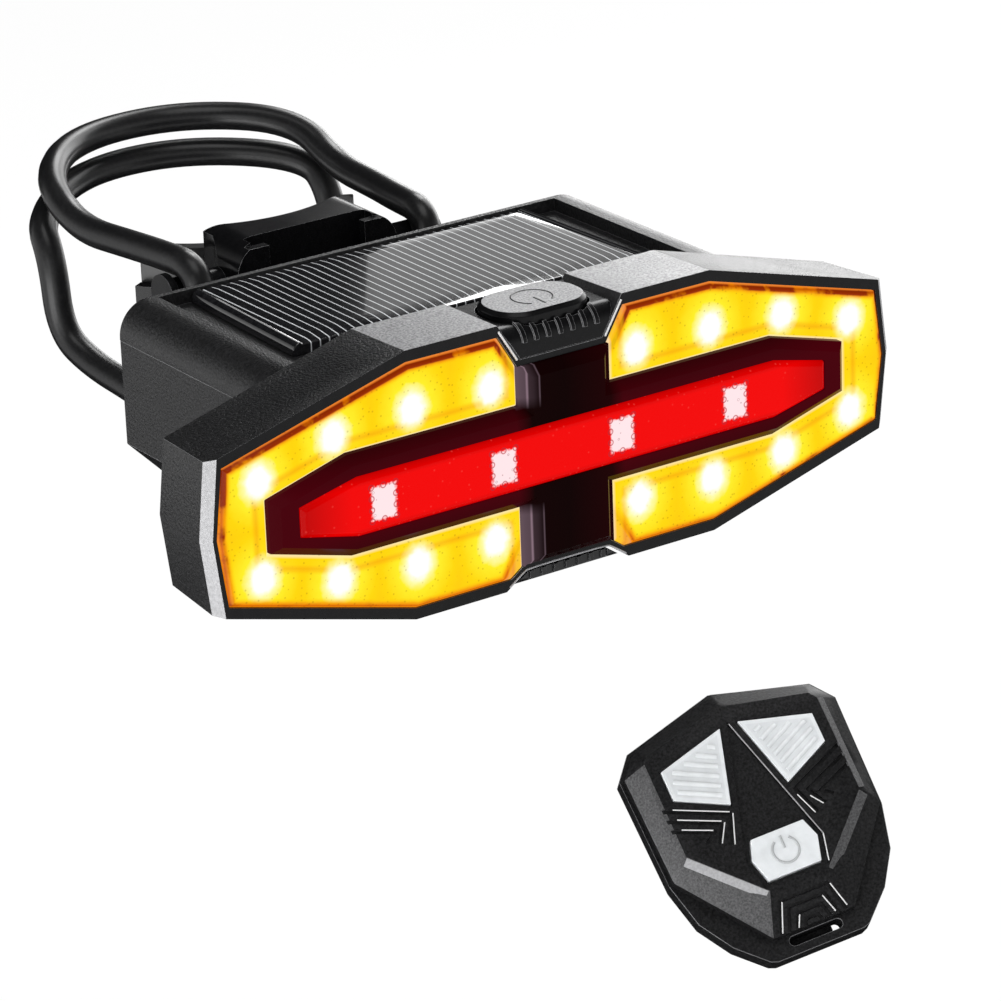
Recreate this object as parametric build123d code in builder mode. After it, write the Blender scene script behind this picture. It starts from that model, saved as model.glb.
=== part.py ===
from build123d import *
import math
import os

# A bicycle turn signal light on its seat post bracket, with its handlebar remote.
# Millimetres. The origin is on the post's axis at the middle of the clamp. +Z runs along the post,
# the lamp's face looks along -Y and its width lies along X.

os.makedirs("parts", exist_ok=True)

# Fits
fit_gap = 0.10
run_gap = 0.30
screw_gap = 0.05
overrun = 1.0

# Reach from the post's axis to the lamp's rim
post_radius = 17.45
jaw_reach = 9.81
stand_off = 9.5
lamp_depth = 44.0
rim_y = -(post_radius + jaw_reach + stand_off + lamp_depth)

# Flared bezel
bezel_half_width = 50.4
bezel_end_step = 1.1
bezel_end_half_width = bezel_half_width - bezel_end_step
bezel_end_half_height = 9.5
bezel_shoulder_half_width = 22.05
bezel_half_height = 16.9
bezel_depth = 11.4
bezel_floor = 2.0
bezel_side_taper = 0.95
bezel_corner_taper = 0.3
bezel_top_taper = 0.38
bezel_end_chamfer = 1.2
bezel_window_half_width = 22.0
bezel_window_half_height = 8.6

# Rim round the lenses
rim_side = 1.75
rim_corner = 0.91
rim_top = 1.43

# Notches in the bezel for the power button and the port cover
notch_half_width = 9.0
notch_floor_half_width = 6.0
notch_floor = 12.0
lower_notch_floor = 14.8
notch_wall = 0.8

# Lenses
lens_front = 0.4
lens_thickness = 2.5
lens_chamfer = 0.5
frame_side_margin = 8.5
frame_half_width = bezel_half_width - frame_side_margin
frame_end_half_height = 3.25
frame_slant_run = 11.0
frame_shoulder_half_width = frame_half_width - frame_slant_run
frame_half_height = 6.28
frame_rise = 1.1
frame_slope_degrees = 45
column_half_width = 6.6
column_step = 0.3
strip_side_margin = 3.6
strip_half_width = frame_half_width - strip_side_margin
strip_end_half_height = 1.85
strip_shoulder_margin = 0.5
strip_shoulder_half_width = frame_shoulder_half_width - strip_shoulder_margin
strip_half_height = 3.68
strip_rise = 1.6
strip_chamfer = 0.6
gasket_thickness = 0.5
gasket_width = 1.2

# Circuit board and lamps
board_thickness = 1.4
lamp_height = 1.6
amber_lamp_size = 3.5
red_lamp_width = 3.0
red_lamp_height = 4.4
lamp_window_gap = 0.6
amber_lamp_shares = [(0.21, 0.573), (0.43, 0.577), (0.648, 0.529), (0.854, 0.354)]
red_lamp_shares = [0.174, 0.51]

# Body behind the bezel
body_half_width = 34.9
body_top = 13.7
body_corner_radius = 4.3
body_side_low = 4.4
body_floor_taper = 7.5
body_floor_half_width = body_half_width - body_floor_taper
body_bottom = 12.0
seam_height = 9.1
shell = 1.8
seal_width = 0.8
seal_depth = 0.6
trough_margin = 5.3
trough_half_width = body_half_width - trough_margin
trough_floor = 12.0
trough_lip = 0.8

# Solar module
module_front_depth = 18.06
module_rear_margin = 1.1
module_length = lamp_depth - module_front_depth - module_rear_margin
module_side_gap = 3.43
module_front_half_width = trough_half_width - module_side_gap
module_taper = 0.93
module_rear_half_width = module_front_half_width - module_taper
module_top = 13.7
module_fairing = 1.4
cell_inset = 1.9
cell_thickness = 0.5
lead_radius = 0.5
solar_lead_half_spacing = 3.0
solar_lead_inset = 2.94
solar_lead_depth = module_front_depth + solar_lead_inset
solar_lead_height = 7.4
solar_lead_bend = 2.0

# Housing screws, up through the floor of the housing into the cover
screw_side_margin = 10.9
screw_x = body_half_width - screw_side_margin
screw_front_depth = 15.4
screw_rear_margin = 4.5
screw_rear_depth = lamp_depth - screw_rear_margin
screw_radius = 1.0
screw_head_radius = 1.7
screw_head_height = 1.4
screw_head_sink = 3.0
screw_tip = 8.0
boss_radius = 2.3
boss_top = 3.0

# Battery
battery_boss_gap = 0.75
battery_depth = (screw_front_depth + screw_rear_depth) / 2
battery_radius = (screw_rear_depth - screw_front_depth) / 2 - boss_radius - battery_boss_gap
battery_end_out = 0.75
battery_length = 2 * (screw_x + battery_end_out)
battery_cap_radius = 3.4
battery_cap_height = 0.5
battery_clearance = 0.2
battery_lead_out = 3.0
battery_lead_rise = 7.0
battery_lead_forward = 5.95
battery_lead_depth = battery_depth - battery_lead_forward
battery_lead_inset = 4.5
battery_lead_x = screw_x - battery_lead_inset
battery_lead_run = 3.0
battery_lead_near = battery_lead_depth - battery_lead_run
battery_lead_height = 6.5

# Power button and its pad
pad_top = 15.9
pad_front_height = 14.0
pad_curve_depth = 2.2
pad_rear_gap = 0.3
pad_well_half_width = 4.0
pad_well_half_depth = 3.2
pad_ledge = 14.4
rib_count = 7
rib_pitch = 1.75
rib_width = 0.6
rib_height = 0.25
cap_width = 13.6
cap_depth = 9.2
cap_corner_radius = 4.2
cap_centre_depth = 5.75
cap_top = 17.0
cap_underside = 15.0
cap_chamfer = 0.5
cap_stem_radius = 1.6
cap_travel = 0.5
switch_board_half_width = 3.6
switch_board_half_depth = 2.8
switch_board_thickness = 0.6
switch_size = 4.5
switch_height = 1.0
switch_nub_radius = 1.0
switch_nub_height = 0.4
switch_leg_half_spacing = 2.0
switch_leg_size = 0.6

# Charging socket and its hinged cover
socket_width = 8.94
socket_thickness = 3.26
socket_depth = 7.3
socket_wall = 0.3
socket_blade_width = 6.7
socket_blade_thickness = 0.7
socket_blade_length = 4.5
socket_recess = 0.2
port_cover_depth = 9.4
port_cover_face = 16.5
port_cover_corner = 1.0
port_hinge_depth = 10.3
port_hinge_height = 15.8
port_hinge_radius = 0.7
port_hinge_half_length = 5.4
port_pin_radius = 0.35
port_pin_half_length = 8.1
port_plug_width = 7.4
port_plug_thickness = 1.6
port_plug_height = 0.8

# Bracket
bracket_half_height = 13.4
block_half_width = 12.0
block_rear_half_width = 10.4
block_corner_radius = 4.0
block_rear_reach = 1.3
channel_web = 6.81
channel_half_width = 9.2
mouth_half_width = 7.2
jaw_thickness = 1.26
jaw_drop = 0.6
channel_floor = 2.0
tongue_height = 19.1
saddle_pad_thickness = 2.0
saddle_wall = 1.6
saddle_half_angle = 58.0
wing_half_height = 5.5
pad_half_height = 10.4
peg_radius = 2.0
peg_reach = 5.05
peg_length = 7.4
peg_height = 7.7
peg_head_radius = 2.8
peg_head_thickness = 1.0

# Rubber strap
strap_radius = 1.9
strap_gap = 0.1
strap_drop = 1.75
strap_upper_height = 16.2
strap_lower_height = 11.2

# Remote: where its top face's reference point lies, and how it is turned
remote_across = 60.76
remote_forward = 37.95
remote_below = 79.75
remote_azimuth_degrees = -28.2
remote_elevation_degrees = 41.8
remote_roll_degrees = 17.3
remote_top_height = 2.4
remote_skirt_height = 1.6
remote_base_height = 3.4
remote_step = 0.5
remote_wall = 1.1
remote_top_apex = 13.6
remote_top_corner_half_width = 12.4
remote_top_corner = 10.9
remote_top_half_width = 13.2
remote_top_corner_low = 9.9
remote_top_low = 4.5
remote_top_end_half_width = 4.4
remote_top_end = 13.3
remote_apex = 16.4
remote_corner_half_width = 13.6
remote_corner = 12.6
remote_half_width = 16.2
remote_corner_low = 9.4
remote_low_half_width = 15.8
remote_low = 6.8
remote_end_half_width = 6.2
remote_end = 19.2
remote_foot_high_half_width = 14.7
remote_foot_high = 13.2
remote_foot_middle_half_width = 11.6
remote_foot_middle = 18.0
remote_foot_low_half_width = 7.6
remote_foot_low = 21.8
remote_foot_end_half_width = 6.6
remote_foot_end = 22.2
remote_slot_half_length = 4.0
remote_slot_radius = 0.7
remote_slot_end = 20.25
remote_wedge_apex = 11.4
remote_wedge_half_width = 5.9
remote_wedge_middle = 8.5
remote_wedge_foot_half_width = 4.9
remote_wedge_foot = 12.75
remote_wedge_depth = 0.4
remote_key_rise = 0.35
remote_key_travel = 0.4
remote_flange_width = 0.6
remote_flange_thickness = 0.4
remote_key_apex = 10.7
remote_key_inner = 1.35
remote_key_low_half_width = 4.4
remote_key_outer_half_width = 11.6
remote_key_outer_low = 3.5
remote_key_outer_high = 7.9
power_key_high = 5.7
power_key_half_width = 4.0
power_key_middle = 8.5
power_key_middle_half_width = 5.0
power_key_low = 12.05
keypad_thickness = 0.5
dome_radius = 2.5
dome_height = 0.3
remote_board_thickness = 0.8
coin_radius = 10.0
coin_thickness = 1.6
coin_centre = 2.0
contact_thickness = 0.15
contact_width = 5.0
contact_length = 22.0
remote_screw_x = 14.8
remote_screw_high = 1.0
remote_screw_low = 16.5
remote_screw_radius = 0.7
remote_screw_head_radius = 1.3
remote_screw_head_height = 0.9
key_gap = 0.15
dome_rise = 1.5
groove_width = 0.55
groove_depth = 0.35
chevron_count = 3
chevron_high = 3.8
chevron_inner = 4.95
chevron_low = 1.17
chevron_foot = 6.5
chevron_end = 5.4
chevron_pitch = 1.6
arch_count = 4
arch_half_width = 3.6
arch_step = 0.9
arch_foot_half_width = 5.0
arch_foot_step = 1.2
arch_drop = 1.9
arch_pitch = 1.2
arch_length = 6.6


# Shared shapes and planes

def back(depth):
    """The y of a place at a depth behind the lamp's rim."""
    return rim_y + depth


def across(depth):
    """Upright plane across the lamp, at a depth behind its rim, facing forwards."""
    return Plane.XZ.offset(-back(depth))


def level(height):
    """Flat plane at a height."""
    return Plane.XY.offset(height)


def around(quarter):
    """Closed outline, alike on both sides of both axes, from the points of its first quarter."""
    upper = quarter + [(-x, z) for x, z in reversed(quarter)]
    lower = [(x, -z) for x, z in reversed(upper) if z != 0]
    return upper + lower


def face_points(side, corner, top):
    """The lamp's outline from the front, drawn in at its sides, end corners and top."""
    return around([
        (bezel_half_width - side, 0),
        (bezel_end_half_width - side, bezel_end_half_height - corner),
        (bezel_shoulder_half_width, bezel_half_height - top),
    ])


def notch_points(floor, side):
    """The notch in the top of the bezel, side 1, or in its bottom, side -1, run past its outline."""
    half = [
        (notch_floor_half_width, side * floor),
        (notch_half_width, side * bezel_half_height),
        (notch_half_width, side * (bezel_half_height + overrun)),
    ]
    return half + [(-x, z) for x, z in reversed(half)]


def mirrored(points):
    """Closed outline from the points of its right half, top to bottom."""
    return points + [(-x, z) for x, z in reversed(points) if x != 0]


with BuildSketch() as notch_walls:
    Polygon(*notch_points(notch_floor, 1), align=None)
    Polygon(*notch_points(lower_notch_floor, -1), align=None)
    offset(amount=notch_wall, kind=Kind.INTERSECTION)

with BuildSketch() as face_area:
    Polygon(*face_points(rim_side, rim_corner, rim_top), align=None)
    add(notch_walls.sketch, mode=Mode.SUBTRACT)

with BuildSketch() as lens_area:
    add(face_area.sketch)
    offset(amount=-fit_gap, kind=Kind.INTERSECTION)

with BuildSketch() as cross_area:
    Polygon(*around([
        (frame_half_width, frame_end_half_height),
        (frame_shoulder_half_width, frame_half_height),
    ]), align=None)
    Rectangle(2 * column_half_width, 2 * bezel_half_height)

with BuildSketch() as frame_area:
    add(cross_area.sketch)
    add(lens_area.sketch, mode=Mode.INTERSECT)

with BuildSketch() as plateau_area:
    Polygon(*around([
        (frame_half_width, frame_end_half_height),
        (frame_shoulder_half_width, frame_half_height),
    ]), align=None)
    column_top = notch_floor - notch_wall - fit_gap
    column_bottom = lower_notch_floor - notch_wall - fit_gap
    with Locations((0, -column_bottom)):
        plateau_width = 2 * (column_half_width - column_step)
        Rectangle(plateau_width, column_top + column_bottom, align=(Align.CENTER, Align.MIN))

with BuildSketch() as frame_gap_area:
    add(cross_area.sketch)
    offset(amount=fit_gap, kind=Kind.INTERSECTION)

with BuildSketch() as strip_area:
    Polygon(*around([
        (strip_half_width, strip_end_half_height),
        (strip_shoulder_half_width, strip_half_height),
    ]), align=None)

with BuildSketch() as strip_slot_area:
    add(strip_area.sketch)
    offset(amount=fit_gap, kind=Kind.INTERSECTION)

# Depths behind the rim of the layers in the bezel, front to back
lens_back = lens_thickness - lens_front
baffle_front = lens_back + gasket_thickness
board_back = bezel_depth - bezel_floor
board_front = board_back - board_thickness
baffle_thickness = board_front - baffle_front

# Charging socket on the front of the circuit board, opening downwards
socket_centre = board_front - fit_gap - socket_thickness / 2
socket_mouth = -(lower_notch_floor - socket_recess)


# Bezel

with BuildPart() as front_bezel:
    with BuildSketch(across(bezel_depth)):
        Polygon(*face_points(bezel_side_taper, bezel_corner_taper, bezel_top_taper), align=None)
    with BuildSketch(across(0)):
        Polygon(*face_points(0, 0, 0), align=None)
    loft(ruled=True)
    front_edges = front_bezel.faces().sort_by(Axis.Y)[0].edges()
    end_edges = front_edges.filter_by(lambda edge: abs(edge.center().X) > bezel_end_half_width)
    chamfer(end_edges, length=bezel_end_chamfer)
    with BuildSketch(across(bezel_depth + overrun)):
        Polygon(*notch_points(notch_floor, 1), align=None)
        Polygon(*notch_points(lower_notch_floor, -1), align=None)
    extrude(amount=bezel_depth + 2 * overrun, mode=Mode.SUBTRACT)
    with BuildSketch(across(board_back)):
        add(face_area.sketch)
    extrude(amount=board_back + overrun, mode=Mode.SUBTRACT)
    with BuildSketch(across(bezel_depth + overrun)):
        Rectangle(2 * bezel_window_half_width, 2 * bezel_window_half_height)
    extrude(amount=bezel_floor + 2 * overrun, mode=Mode.SUBTRACT)
    with BuildSketch(level(-lower_notch_floor - overrun)):
        with Locations((0, back(socket_centre))):
            SlotOverall(socket_width + 2 * fit_gap, socket_thickness + 2 * fit_gap)
    extrude(amount=notch_wall + 2 * overrun, mode=Mode.SUBTRACT)
    with BuildSketch(level(notch_floor + overrun)):
        with Locations((0, back(cap_centre_depth + switch_board_half_depth - switch_leg_size))):
            with GridLocations(2 * switch_leg_half_spacing, 0, 2, 1):
                Rectangle(switch_leg_size + 2 * fit_gap, switch_leg_size + 2 * fit_gap)
    extrude(amount=-notch_wall - 2 * overrun, mode=Mode.SUBTRACT)
    with BuildSketch(Plane.YZ):
        with Locations((back(port_hinge_depth), -port_hinge_height)):
            Circle(port_pin_radius + fit_gap)
    extrude(amount=port_pin_half_length + fit_gap, both=True, mode=Mode.SUBTRACT)
front_bezel.part.label = "front_bezel"
export_step(front_bezel.part, "parts/front_bezel.step")


# Lenses

for side, name in ((-1, "amber_lens_left"), (1, "amber_lens_right")):
    with BuildPart() as amber_lens:
        with BuildSketch(across(lens_back)):
            add(lens_area.sketch)
            add(frame_gap_area.sketch, mode=Mode.SUBTRACT)
            with Locations((-side * bezel_half_width, 0)):
                Rectangle(2 * bezel_half_width, 4 * bezel_half_height, mode=Mode.SUBTRACT)
        extrude(amount=lens_thickness)
        chamfer(amber_lens.faces().sort_by(Axis.Y)[0].edges(), length=lens_chamfer)
    amber_lens.part.label = name
    export_step(amber_lens.part, "parts/" + name + ".step")

with BuildPart() as smoked_lens:
    with BuildSketch(across(lens_back)):
        add(frame_area.sketch)
    extrude(amount=lens_thickness)
    with BuildSketch(across(-lens_front)):
        add(plateau_area.sketch)
    extrude(amount=frame_rise, taper=frame_slope_degrees)
    with BuildSketch(across(lens_back + overrun)):
        add(strip_slot_area.sketch)
    extrude(amount=lens_thickness + frame_rise + 2 * overrun, mode=Mode.SUBTRACT)
smoked_lens.part.label = "smoked_lens"
export_step(smoked_lens.part, "parts/smoked_lens.step")

with BuildPart() as red_lens_strip:
    with BuildSketch(across(lens_back)):
        add(strip_area.sketch)
    extrude(amount=lens_thickness + strip_rise)
    chamfer(red_lens_strip.faces().sort_by(Axis.Y)[0].edges(), length=strip_chamfer)
red_lens_strip.part.label = "red_lens_strip"
export_step(red_lens_strip.part, "parts/red_lens_strip.step")

with BuildPart() as lens_gasket:
    with BuildSketch(across(baffle_front)):
        add(lens_area.sketch)
        offset(amount=-gasket_width, kind=Kind.INTERSECTION, mode=Mode.SUBTRACT)
    extrude(amount=gasket_thickness)
lens_gasket.part.label = "lens_gasket"
export_step(lens_gasket.part, "parts/lens_gasket.step")


# Light baffle, circuit board and lamps

amber_places = [
    (x * bezel_half_width, side * z * bezel_half_height)
    for x, z in amber_lamp_shares
    for side in (1, -1)
]
left_amber_places = [(-x, z) for x, z in amber_places]
red_places = [(side * x * bezel_half_width, 0) for x in red_lamp_shares for side in (1, -1)]
amber_window = amber_lamp_size + 2 * lamp_window_gap

with BuildPart() as light_baffle:
    with BuildSketch(across(board_front)):
        add(lens_area.sketch)
        with Locations(*(amber_places + left_amber_places)):
            Rectangle(amber_window, amber_window, mode=Mode.SUBTRACT)
        with Locations(*red_places):
            red_window_width = red_lamp_width + 2 * lamp_window_gap
            red_window_height = red_lamp_height + 2 * lamp_window_gap
            Rectangle(red_window_width, red_window_height, mode=Mode.SUBTRACT)
        with Locations((0, -bezel_half_height)):
            pocket_width = socket_width + 4 * fit_gap
            pocket_top = socket_mouth + socket_depth + 2 * fit_gap
            pocket_height = bezel_half_height + pocket_top
            pocket_align = (Align.CENTER, Align.MIN)
            Rectangle(pocket_width, pocket_height, align=pocket_align, mode=Mode.SUBTRACT)
    extrude(amount=baffle_thickness)
light_baffle.part.label = "light_baffle"
export_step(light_baffle.part, "parts/light_baffle.step")

with BuildPart() as main_board:
    with BuildSketch(across(board_back)):
        add(lens_area.sketch)
    extrude(amount=board_thickness)
main_board.part.label = "main_board"
export_step(main_board.part, "parts/main_board.step")

for places, name in ((left_amber_places, "amber_lamps_left"), (amber_places, "amber_lamps_right")):
    with BuildPart() as amber_lamps:
        with BuildSketch(across(board_front)):
            with Locations(*places):
                Rectangle(amber_lamp_size, amber_lamp_size)
        extrude(amount=lamp_height)
    amber_lamps.part.label = name
    export_step(amber_lamps.part, "parts/" + name + ".step")

with BuildPart() as red_lamps:
    with BuildSketch(across(board_front)):
        with Locations(*red_places):
            Rectangle(red_lamp_width, red_lamp_height)
    extrude(amount=lamp_height)
red_lamps.part.label = "red_lamps"
export_step(red_lamps.part, "parts/red_lamps.step")


# Body: the housing below the seam and the cover above it

with BuildSketch() as body_area:
    Polygon(*mirrored([
        (body_half_width, body_top),
        (body_half_width, -body_side_low),
        (body_floor_half_width, -body_bottom),
    ]), align=None)
    fillet(body_area.vertices().group_by(Axis.Y)[-1], radius=body_corner_radius)

cover_ceiling = trough_floor - shell

with BuildSketch() as hollow_area:
    add(body_area.sketch)
    offset(amount=-shell, kind=Kind.INTERSECTION)
    with Locations((0, cover_ceiling)):
        Rectangle(2 * body_half_width, body_top, align=(Align.CENTER, Align.MIN), mode=Mode.SUBTRACT)

screw_places = [
    (side * screw_x, back(depth))
    for side in (-1, 1)
    for depth in (screw_front_depth, screw_rear_depth)
]
screw_head_seat = -(body_bottom - screw_head_sink)
seal_half_width = body_half_width - shell / 2
seal_rear = back(lamp_depth - shell / 2)

# Tongue behind the housing, and the bracket channel that it slides in
jaw_y = -(post_radius + jaw_reach)
channel_y = -(post_radius + channel_web)
tongue_bottom = -(bracket_half_height - channel_floor) + fit_gap
head_front_y = jaw_y + jaw_thickness + run_gap
head_rear_y = channel_y - run_gap
neck_root_y = back(lamp_depth - shell)

with BuildPart() as rear_housing:
    with BuildSketch(across(lamp_depth)):
        add(body_area.sketch)
    extrude(amount=lamp_depth - bezel_depth)
    with BuildSketch(across(lamp_depth - shell)):
        add(hollow_area.sketch)
    extrude(amount=lamp_depth - shell - bezel_depth + overrun, mode=Mode.SUBTRACT)
    split(bisect_by=level(seam_height), keep=Keep.BOTTOM)
    with BuildSketch(level(-body_bottom)):
        with Locations(*screw_places):
            Circle(boss_radius)
    extrude(amount=body_bottom + boss_top)
    with BuildSketch(level(-body_bottom - overrun)):
        with Locations(*screw_places):
            Circle(screw_radius + fit_gap)
    extrude(amount=body_bottom + boss_top + 2 * overrun, mode=Mode.SUBTRACT)
    with BuildSketch(level(-body_bottom - overrun)):
        with Locations(*screw_places):
            Circle(screw_head_radius + fit_gap)
    extrude(amount=screw_head_sink + overrun, mode=Mode.SUBTRACT)
    with BuildSketch(level(seam_height)):
        with BuildLine():
            Polyline(
                (-seal_half_width, back(bezel_depth) - overrun),
                (-seal_half_width, seal_rear),
                (seal_half_width, seal_rear),
                (seal_half_width, back(bezel_depth) - overrun),
            )
        trace(line_width=seal_width)
    extrude(amount=-seal_depth, mode=Mode.SUBTRACT)
    with BuildSketch(level(tongue_bottom)):
        with Locations((0, neck_root_y)):
            neck_width = 2 * (mouth_half_width - run_gap)
            Rectangle(neck_width, head_rear_y - neck_root_y, align=(Align.CENTER, Align.MIN))
        with Locations((0, head_front_y)):
            head_width = 2 * (channel_half_width - run_gap)
            Rectangle(head_width, head_rear_y - head_front_y, align=(Align.CENTER, Align.MIN))
    extrude(amount=tongue_height)
rear_housing.part.label = "rear_housing"
export_step(rear_housing.part, "parts/rear_housing.step")

with BuildPart() as seam_seal:
    with BuildSketch(level(seam_height - seal_depth)):
        with BuildLine():
            Polyline(
                (-seal_half_width, back(bezel_depth)),
                (-seal_half_width, seal_rear),
                (seal_half_width, seal_rear),
                (seal_half_width, back(bezel_depth)),
            )
        trace(line_width=seal_width)
    extrude(amount=seal_depth)
seam_seal.part.label = "seam_seal"
export_step(seam_seal.part, "parts/seam_seal.step")

with BuildPart() as top_cover:
    with BuildSketch(across(lamp_depth)):
        add(body_area.sketch)
    extrude(amount=lamp_depth - bezel_depth)
    with BuildSketch(across(lamp_depth - shell)):
        add(hollow_area.sketch)
    extrude(amount=lamp_depth - shell - bezel_depth + overrun, mode=Mode.SUBTRACT)
    split(bisect_by=level(seam_height), keep=Keep.TOP)
    with BuildSketch(level(trough_floor)):
        with Locations((0, back(bezel_depth) - overrun)):
            trough_length = lamp_depth - trough_lip - bezel_depth + overrun
            Rectangle(2 * trough_half_width, trough_length, align=(Align.CENTER, Align.MIN))
    extrude(amount=body_top, mode=Mode.SUBTRACT)
    with BuildSketch(level(boss_top)):
        with Locations(*screw_places):
            Circle(boss_radius)
    extrude(amount=cover_ceiling - boss_top)
    with BuildSketch(level(boss_top - overrun)):
        with Locations(*screw_places):
            Circle(screw_radius + screw_gap)
    extrude(amount=screw_tip - boss_top + 2 * overrun, mode=Mode.SUBTRACT)
    with BuildSketch(level(cover_ceiling - overrun)):
        with Locations((0, back(solar_lead_depth))):
            with GridLocations(2 * solar_lead_half_spacing, 0, 2, 1):
                Circle(lead_radius + fit_gap)
    extrude(amount=shell + 2 * overrun, mode=Mode.SUBTRACT)
top_cover.part.label = "top_cover"
export_step(top_cover.part, "parts/top_cover.step")

with BuildPart() as housing_screws:
    with BuildSketch(level(screw_head_seat)):
        with Locations(*screw_places):
            Circle(screw_radius)
    extrude(amount=screw_tip - screw_head_seat)
    with BuildSketch(level(screw_head_seat)):
        with Locations(*screw_places):
            Circle(screw_head_radius)
    extrude(amount=-screw_head_height)
    with BuildSketch(level(screw_head_seat - screw_head_height)):
        with Locations(*screw_places):
            RegularPolygon(radius=screw_head_radius / 2, side_count=6)
    extrude(amount=screw_head_height / 2, mode=Mode.SUBTRACT)
housing_screws.part.label = "housing_screws"
export_step(housing_screws.part, "parts/housing_screws.step")


# Solar module on the trough's floor

module_rear_depth = module_front_depth + module_length


def module_points(inset):
    """The module's plan, drawn in by an inset."""
    return [
        (-module_front_half_width + inset, back(module_front_depth) + inset),
        (module_front_half_width - inset, back(module_front_depth) + inset),
        (module_rear_half_width - inset, back(module_rear_depth) - inset),
        (-module_rear_half_width + inset, back(module_rear_depth) - inset),
    ]


with BuildPart() as solar_cover:
    with BuildSketch(level(trough_floor)):
        Polygon(*module_points(0), align=None)
    extrude(amount=module_top - trough_floor)
    top_edges = solar_cover.faces().sort_by(Axis.Z)[-1].edges()
    side_edges = top_edges.filter_by(lambda edge: abs(edge.center().X) > module_rear_half_width)
    fillet(side_edges, radius=module_fairing)
    with BuildSketch(level(trough_floor)):
        Polygon(*module_points(cell_inset - fit_gap), align=None)
    extrude(amount=cell_thickness + fit_gap, mode=Mode.SUBTRACT)
solar_cover.part.label = "solar_cover"
export_step(solar_cover.part, "parts/solar_cover.step")

with BuildPart() as solar_cell:
    with BuildSketch(level(trough_floor)):
        Polygon(*module_points(cell_inset), align=None)
    extrude(amount=cell_thickness)
solar_cell.part.label = "solar_cell"
export_step(solar_cell.part, "parts/solar_cell.step")

with BuildPart() as solar_leads:
    for side in (-1, 1):
        with BuildLine() as solar_lead_path:
            FilletPolyline(
                (side * solar_lead_half_spacing, back(solar_lead_depth), trough_floor),
                (side * solar_lead_half_spacing, back(solar_lead_depth), solar_lead_height),
                (side * solar_lead_half_spacing, back(board_back), solar_lead_height),
                radius=solar_lead_bend,
            )
        with BuildSketch(Plane(origin=solar_lead_path.line @ 0, z_dir=solar_lead_path.line % 0)):
            Circle(lead_radius)
        sweep(path=solar_lead_path.line)
solar_leads.part.label = "solar_leads"
export_step(solar_leads.part, "parts/solar_leads.step")


# Battery and its leads

battery_height = -body_bottom + shell + battery_clearance + battery_radius


def bend_radii(points):
    """Radius of each bend of a lead or strap: 0.45 of its shorter run over the tangent of half its turn."""
    runs = [Vector(*b) - Vector(*a) for a, b in zip(points, points[1:])]
    return [
        bend_share * min(one.length, two.length) / math.tan(math.radians(one.get_angle(two) / 2))
        for one, two in zip(runs, runs[1:])
    ]


bend_share = 0.45

with BuildPart() as battery_cell:
    with BuildSketch(Plane.YZ.offset(-battery_length / 2)):
        with Locations((back(battery_depth), battery_height)):
            Circle(battery_radius)
    extrude(amount=battery_length)
    with BuildSketch(Plane.YZ.offset(battery_length / 2)):
        with Locations((back(battery_depth), battery_height)):
            Circle(battery_cap_radius)
    extrude(amount=battery_cap_height)
battery_cell.part.label = "battery_cell"
export_step(battery_cell.part, "parts/battery_cell.step")

with BuildPart() as battery_leads:
    for side, end in ((-1, battery_length / 2), (1, battery_length / 2 + battery_cap_height)):
        battery_lead_points = [
            (side * end, back(battery_depth), battery_height),
            (side * (end + battery_lead_out), back(battery_depth), battery_height),
            (side * (end + battery_lead_out), back(battery_lead_depth), battery_height + battery_lead_rise),
            (side * battery_lead_x, back(battery_lead_near), battery_lead_height),
            (side * battery_lead_x, back(board_back), battery_lead_height),
        ]
        with BuildLine() as battery_lead_path:
            FilletPolyline(*battery_lead_points, radius=bend_radii(battery_lead_points))
        with BuildSketch(Plane(origin=battery_lead_path.line @ 0, z_dir=battery_lead_path.line % 0)):
            Circle(lead_radius)
        sweep(path=battery_lead_path.line)
battery_leads.part.label = "battery_leads"
export_step(battery_leads.part, "parts/battery_leads.step")


# Power button: ribbed pad in the top notch, switch under it, cap over it

pad_rear = bezel_depth - pad_rear_gap
pad_underside = notch_floor + fit_gap
rib_places = [(index - (rib_count - 1) / 2) * rib_pitch for index in range(rib_count)]

with BuildPart() as button_pad:
    with BuildSketch(Plane.YZ):
        with BuildLine():
            pad_crest = TangentArc(
                (back(pad_curve_depth), pad_top), (back(0), pad_front_height), tangent=(-1, 0)
            )
            Polyline(
                pad_crest @ 1,
                (back(0), pad_underside),
                (back(pad_rear), pad_underside),
                (back(pad_rear), pad_top),
                pad_crest @ 0,
            )
        make_face()
    extrude(amount=notch_half_width, both=True)
    for x in rib_places:
        with BuildSketch(Plane.YZ.offset(x)):
            with BuildLine():
                rib_crest = TangentArc(
                    (back(pad_curve_depth), pad_top + rib_height),
                    (back(-rib_height), pad_front_height),
                    tangent=(-1, 0),
                )
                Polyline(rib_crest @ 1, (back(pad_curve_depth), pad_front_height), rib_crest @ 0)
            make_face()
        extrude(amount=rib_width / 2, both=True)
    with BuildSketch(across(bezel_depth)):
        Polygon(*notch_points(notch_floor, 1), align=None)
        offset(amount=-fit_gap, kind=Kind.INTERSECTION)
    extrude(amount=bezel_depth + overrun, mode=Mode.INTERSECT)
    with BuildSketch(level(pad_ledge)):
        with Locations((0, back(cap_centre_depth))):
            RectangleRounded(cap_width + 2 * run_gap, cap_depth + 2 * run_gap, cap_corner_radius + run_gap)
    extrude(amount=cap_top, mode=Mode.SUBTRACT)
    with BuildSketch(level(notch_floor)):
        with Locations((0, back(cap_centre_depth))):
            Rectangle(2 * pad_well_half_width, 2 * pad_well_half_depth)
    extrude(amount=cap_top, mode=Mode.SUBTRACT)
button_pad.part.label = "button_pad"
export_step(button_pad.part, "parts/button_pad.step")

switch_bottom = pad_underside + switch_board_thickness
switch_top = switch_bottom + switch_height + switch_nub_height

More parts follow.
